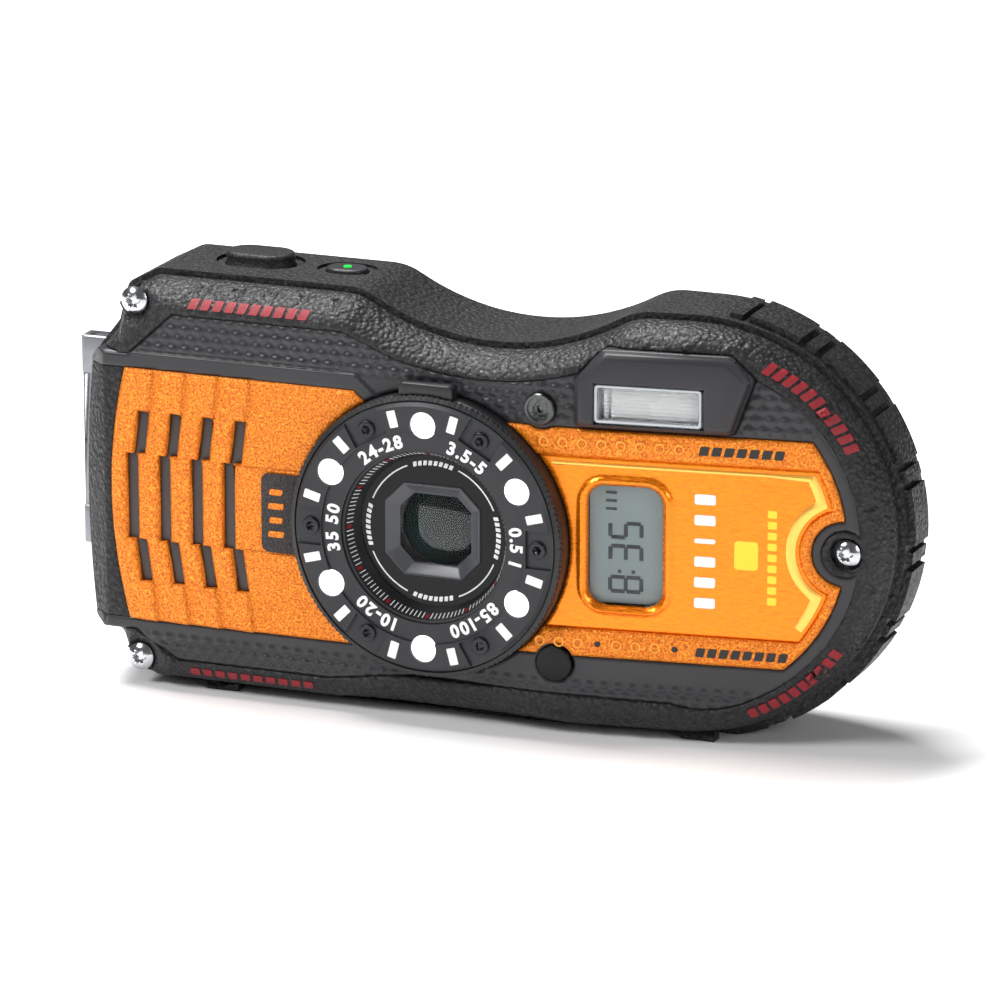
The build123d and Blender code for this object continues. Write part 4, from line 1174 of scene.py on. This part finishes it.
def flash_frame():
    """Bright frame round the flash window."""
    mesh = bmesh.new()
    rings = []
    for gap, depth in ((0.0, 0.3), (-0.12, -0.85), (-0.3, -1.0), (-0.62, -1.0), (-0.75, -0.8), (-0.75, 0.3),
                       (0.0, 0.3)):
        line = rounded_corners(0, 0, FLASH[2] + 2 * gap, FLASH[3] + 2 * gap, max(0.25, 0.8 + gap))
        rings.append([flash_place(across, up, depth) for across, up in line])
    add_loop_grid(mesh, rings)
    weld(mesh)
    closed_piece("flash_frame", mesh, "clear_frame")


flash_ribs()
flash_frame()

SEGMENTS = {"8": "abcdefg", "3": "abcdg", "5": "acdfg"}
# steps across and along the digit's middle, and whether the segment lies along the row
SEGMENT_PLACES = {"a": (-2, 0, 0), "g": (0, 0, 0), "d": (2, 0, 0), "f": (-1, -1, 1), "e": (1, -1, 1),
                  "b": (-1, 1, 1), "c": (1, 1, 1)}


def clock_digits():
    """Seven-segment digits that read from bottom to top, with two dots and a small word as bars."""
    outlines = []
    thick, step = 0.55, 3.4
    for number, digit in enumerate("835"):
        base = 21.9 + (number + (0.35 if number else 0)) * step
        for name in SEGMENTS[digit]:
            across, side, along = SEGMENT_PLACES[name]
            width, height = (2.0, thick) if along else (thick, 1.9)
            outlines.append(rounded_bar((23.1 + across * 1.12, base + 1.2 + side * 1.05), width, height, 0.12))
    outlines += [rounded_bar((x, 25.0), 0.5, 0.5, 0.12) for x in (22.2, 24.2)]
    outlines += [rounded_bar((21.0, 34.2 + 1.2 * number), 1.6, 0.4, 0.1) for number in range(3)]
    return outlines


tiles("clock_digits", "lcd_ink", clock_digits(), lambda x, z: face_y(x) + 1.84, 0.05)
for lone in ("power_button", "shutter_button", "play_button", "movie_button", "menu_button", "mode_button",
             "four_way_pad", "ok_button", "zoom_rocker"):
    softened(lone, "button" if lone == "shutter_button" else "trim", 0.25, 3)
softened("strap_bar", "bar", 0.3, 3)
softened("remote_window", "piano", 0.25, 3)


# ---- stage ----------------------------------------------------------------------
def area_light(name, place, size, power):
    """Rectangular soft light aimed at the camera's middle; place in millimetres, size in metres."""
    data = bpy.data.lights.new(name, "AREA")
    data.shape = "RECTANGLE"
    data.size, data.size_y = size
    data.energy = power
    lamp = bpy.data.objects.new(name, data)
    bpy.context.scene.collection.objects.link(lamp)
    lamp.location = Vector(place) * MM
    lamp.rotation_euler = (Vector((0, 0, 30)) * MM - lamp.location).to_track_quat("-Z", "Y").to_euler()


def make_stage():
    """Pale floor, white world and soft studio lights."""
    reach = 6.0
    mesh = bpy.data.meshes.new("floor")
    corners = [(-reach, -reach, 0), (reach, -reach, 0), (reach, reach, 0), (-reach, reach, 0)]
    mesh.from_pydata(corners, [], [(0, 1, 2, 3)])
    floor = bpy.data.objects.new("floor", mesh)
    bpy.context.scene.collection.objects.link(floor)
    look = Look("floor_paint", (0.93, 0.93, 0.93, 1), 0.9)
    look.bump(look.noise(2.0, 3.0), 0.02)
    floor.data.materials.append(look.material)
    world = bpy.data.worlds.new("studio")
    bpy.context.scene.world = world
    world.use_nodes = True
    world.node_tree.nodes["Background"].inputs["Color"].default_value = (1, 1, 1, 1)
    world.node_tree.nodes["Background"].inputs["Strength"].default_value = 0.14
    area_light("key", (-550, -700, 800), (0.4, 0.3), 7.4)
    area_light("fill", (900, -500, 450), (0.3, 0.5), 3)
    area_light("top", (-300, 150, 900), (0.6, 0.3), 15)
    bpy.context.scene.view_settings.view_transform = "Standard"


def make_camera():
    """Long lens from the front right, a little above, at one metre."""
    azimuth, elevation = math.radians(21.88), math.radians(15.78)
    back = Vector((math.sin(azimuth) * math.cos(elevation), -math.cos(azimuth) * math.cos(elevation),
                   math.sin(elevation)))
    data = bpy.data.cameras.new("camera")
    data.lens, data.sensor_width = 249.2, 36.0
    data.clip_start, data.clip_end = 0.01, 20.0
    camera = bpy.data.objects.new("camera", data)
    bpy.context.scene.collection.objects.link(camera)
    camera.location = Vector((0, 0, 30.66)) * MM + back
    camera.rotation_mode = "QUATERNION"
    camera.rotation_quaternion = (-back).to_track_quat("-Z", "Y")
    bpy.context.scene.camera = camera


make_stage()
make_camera()
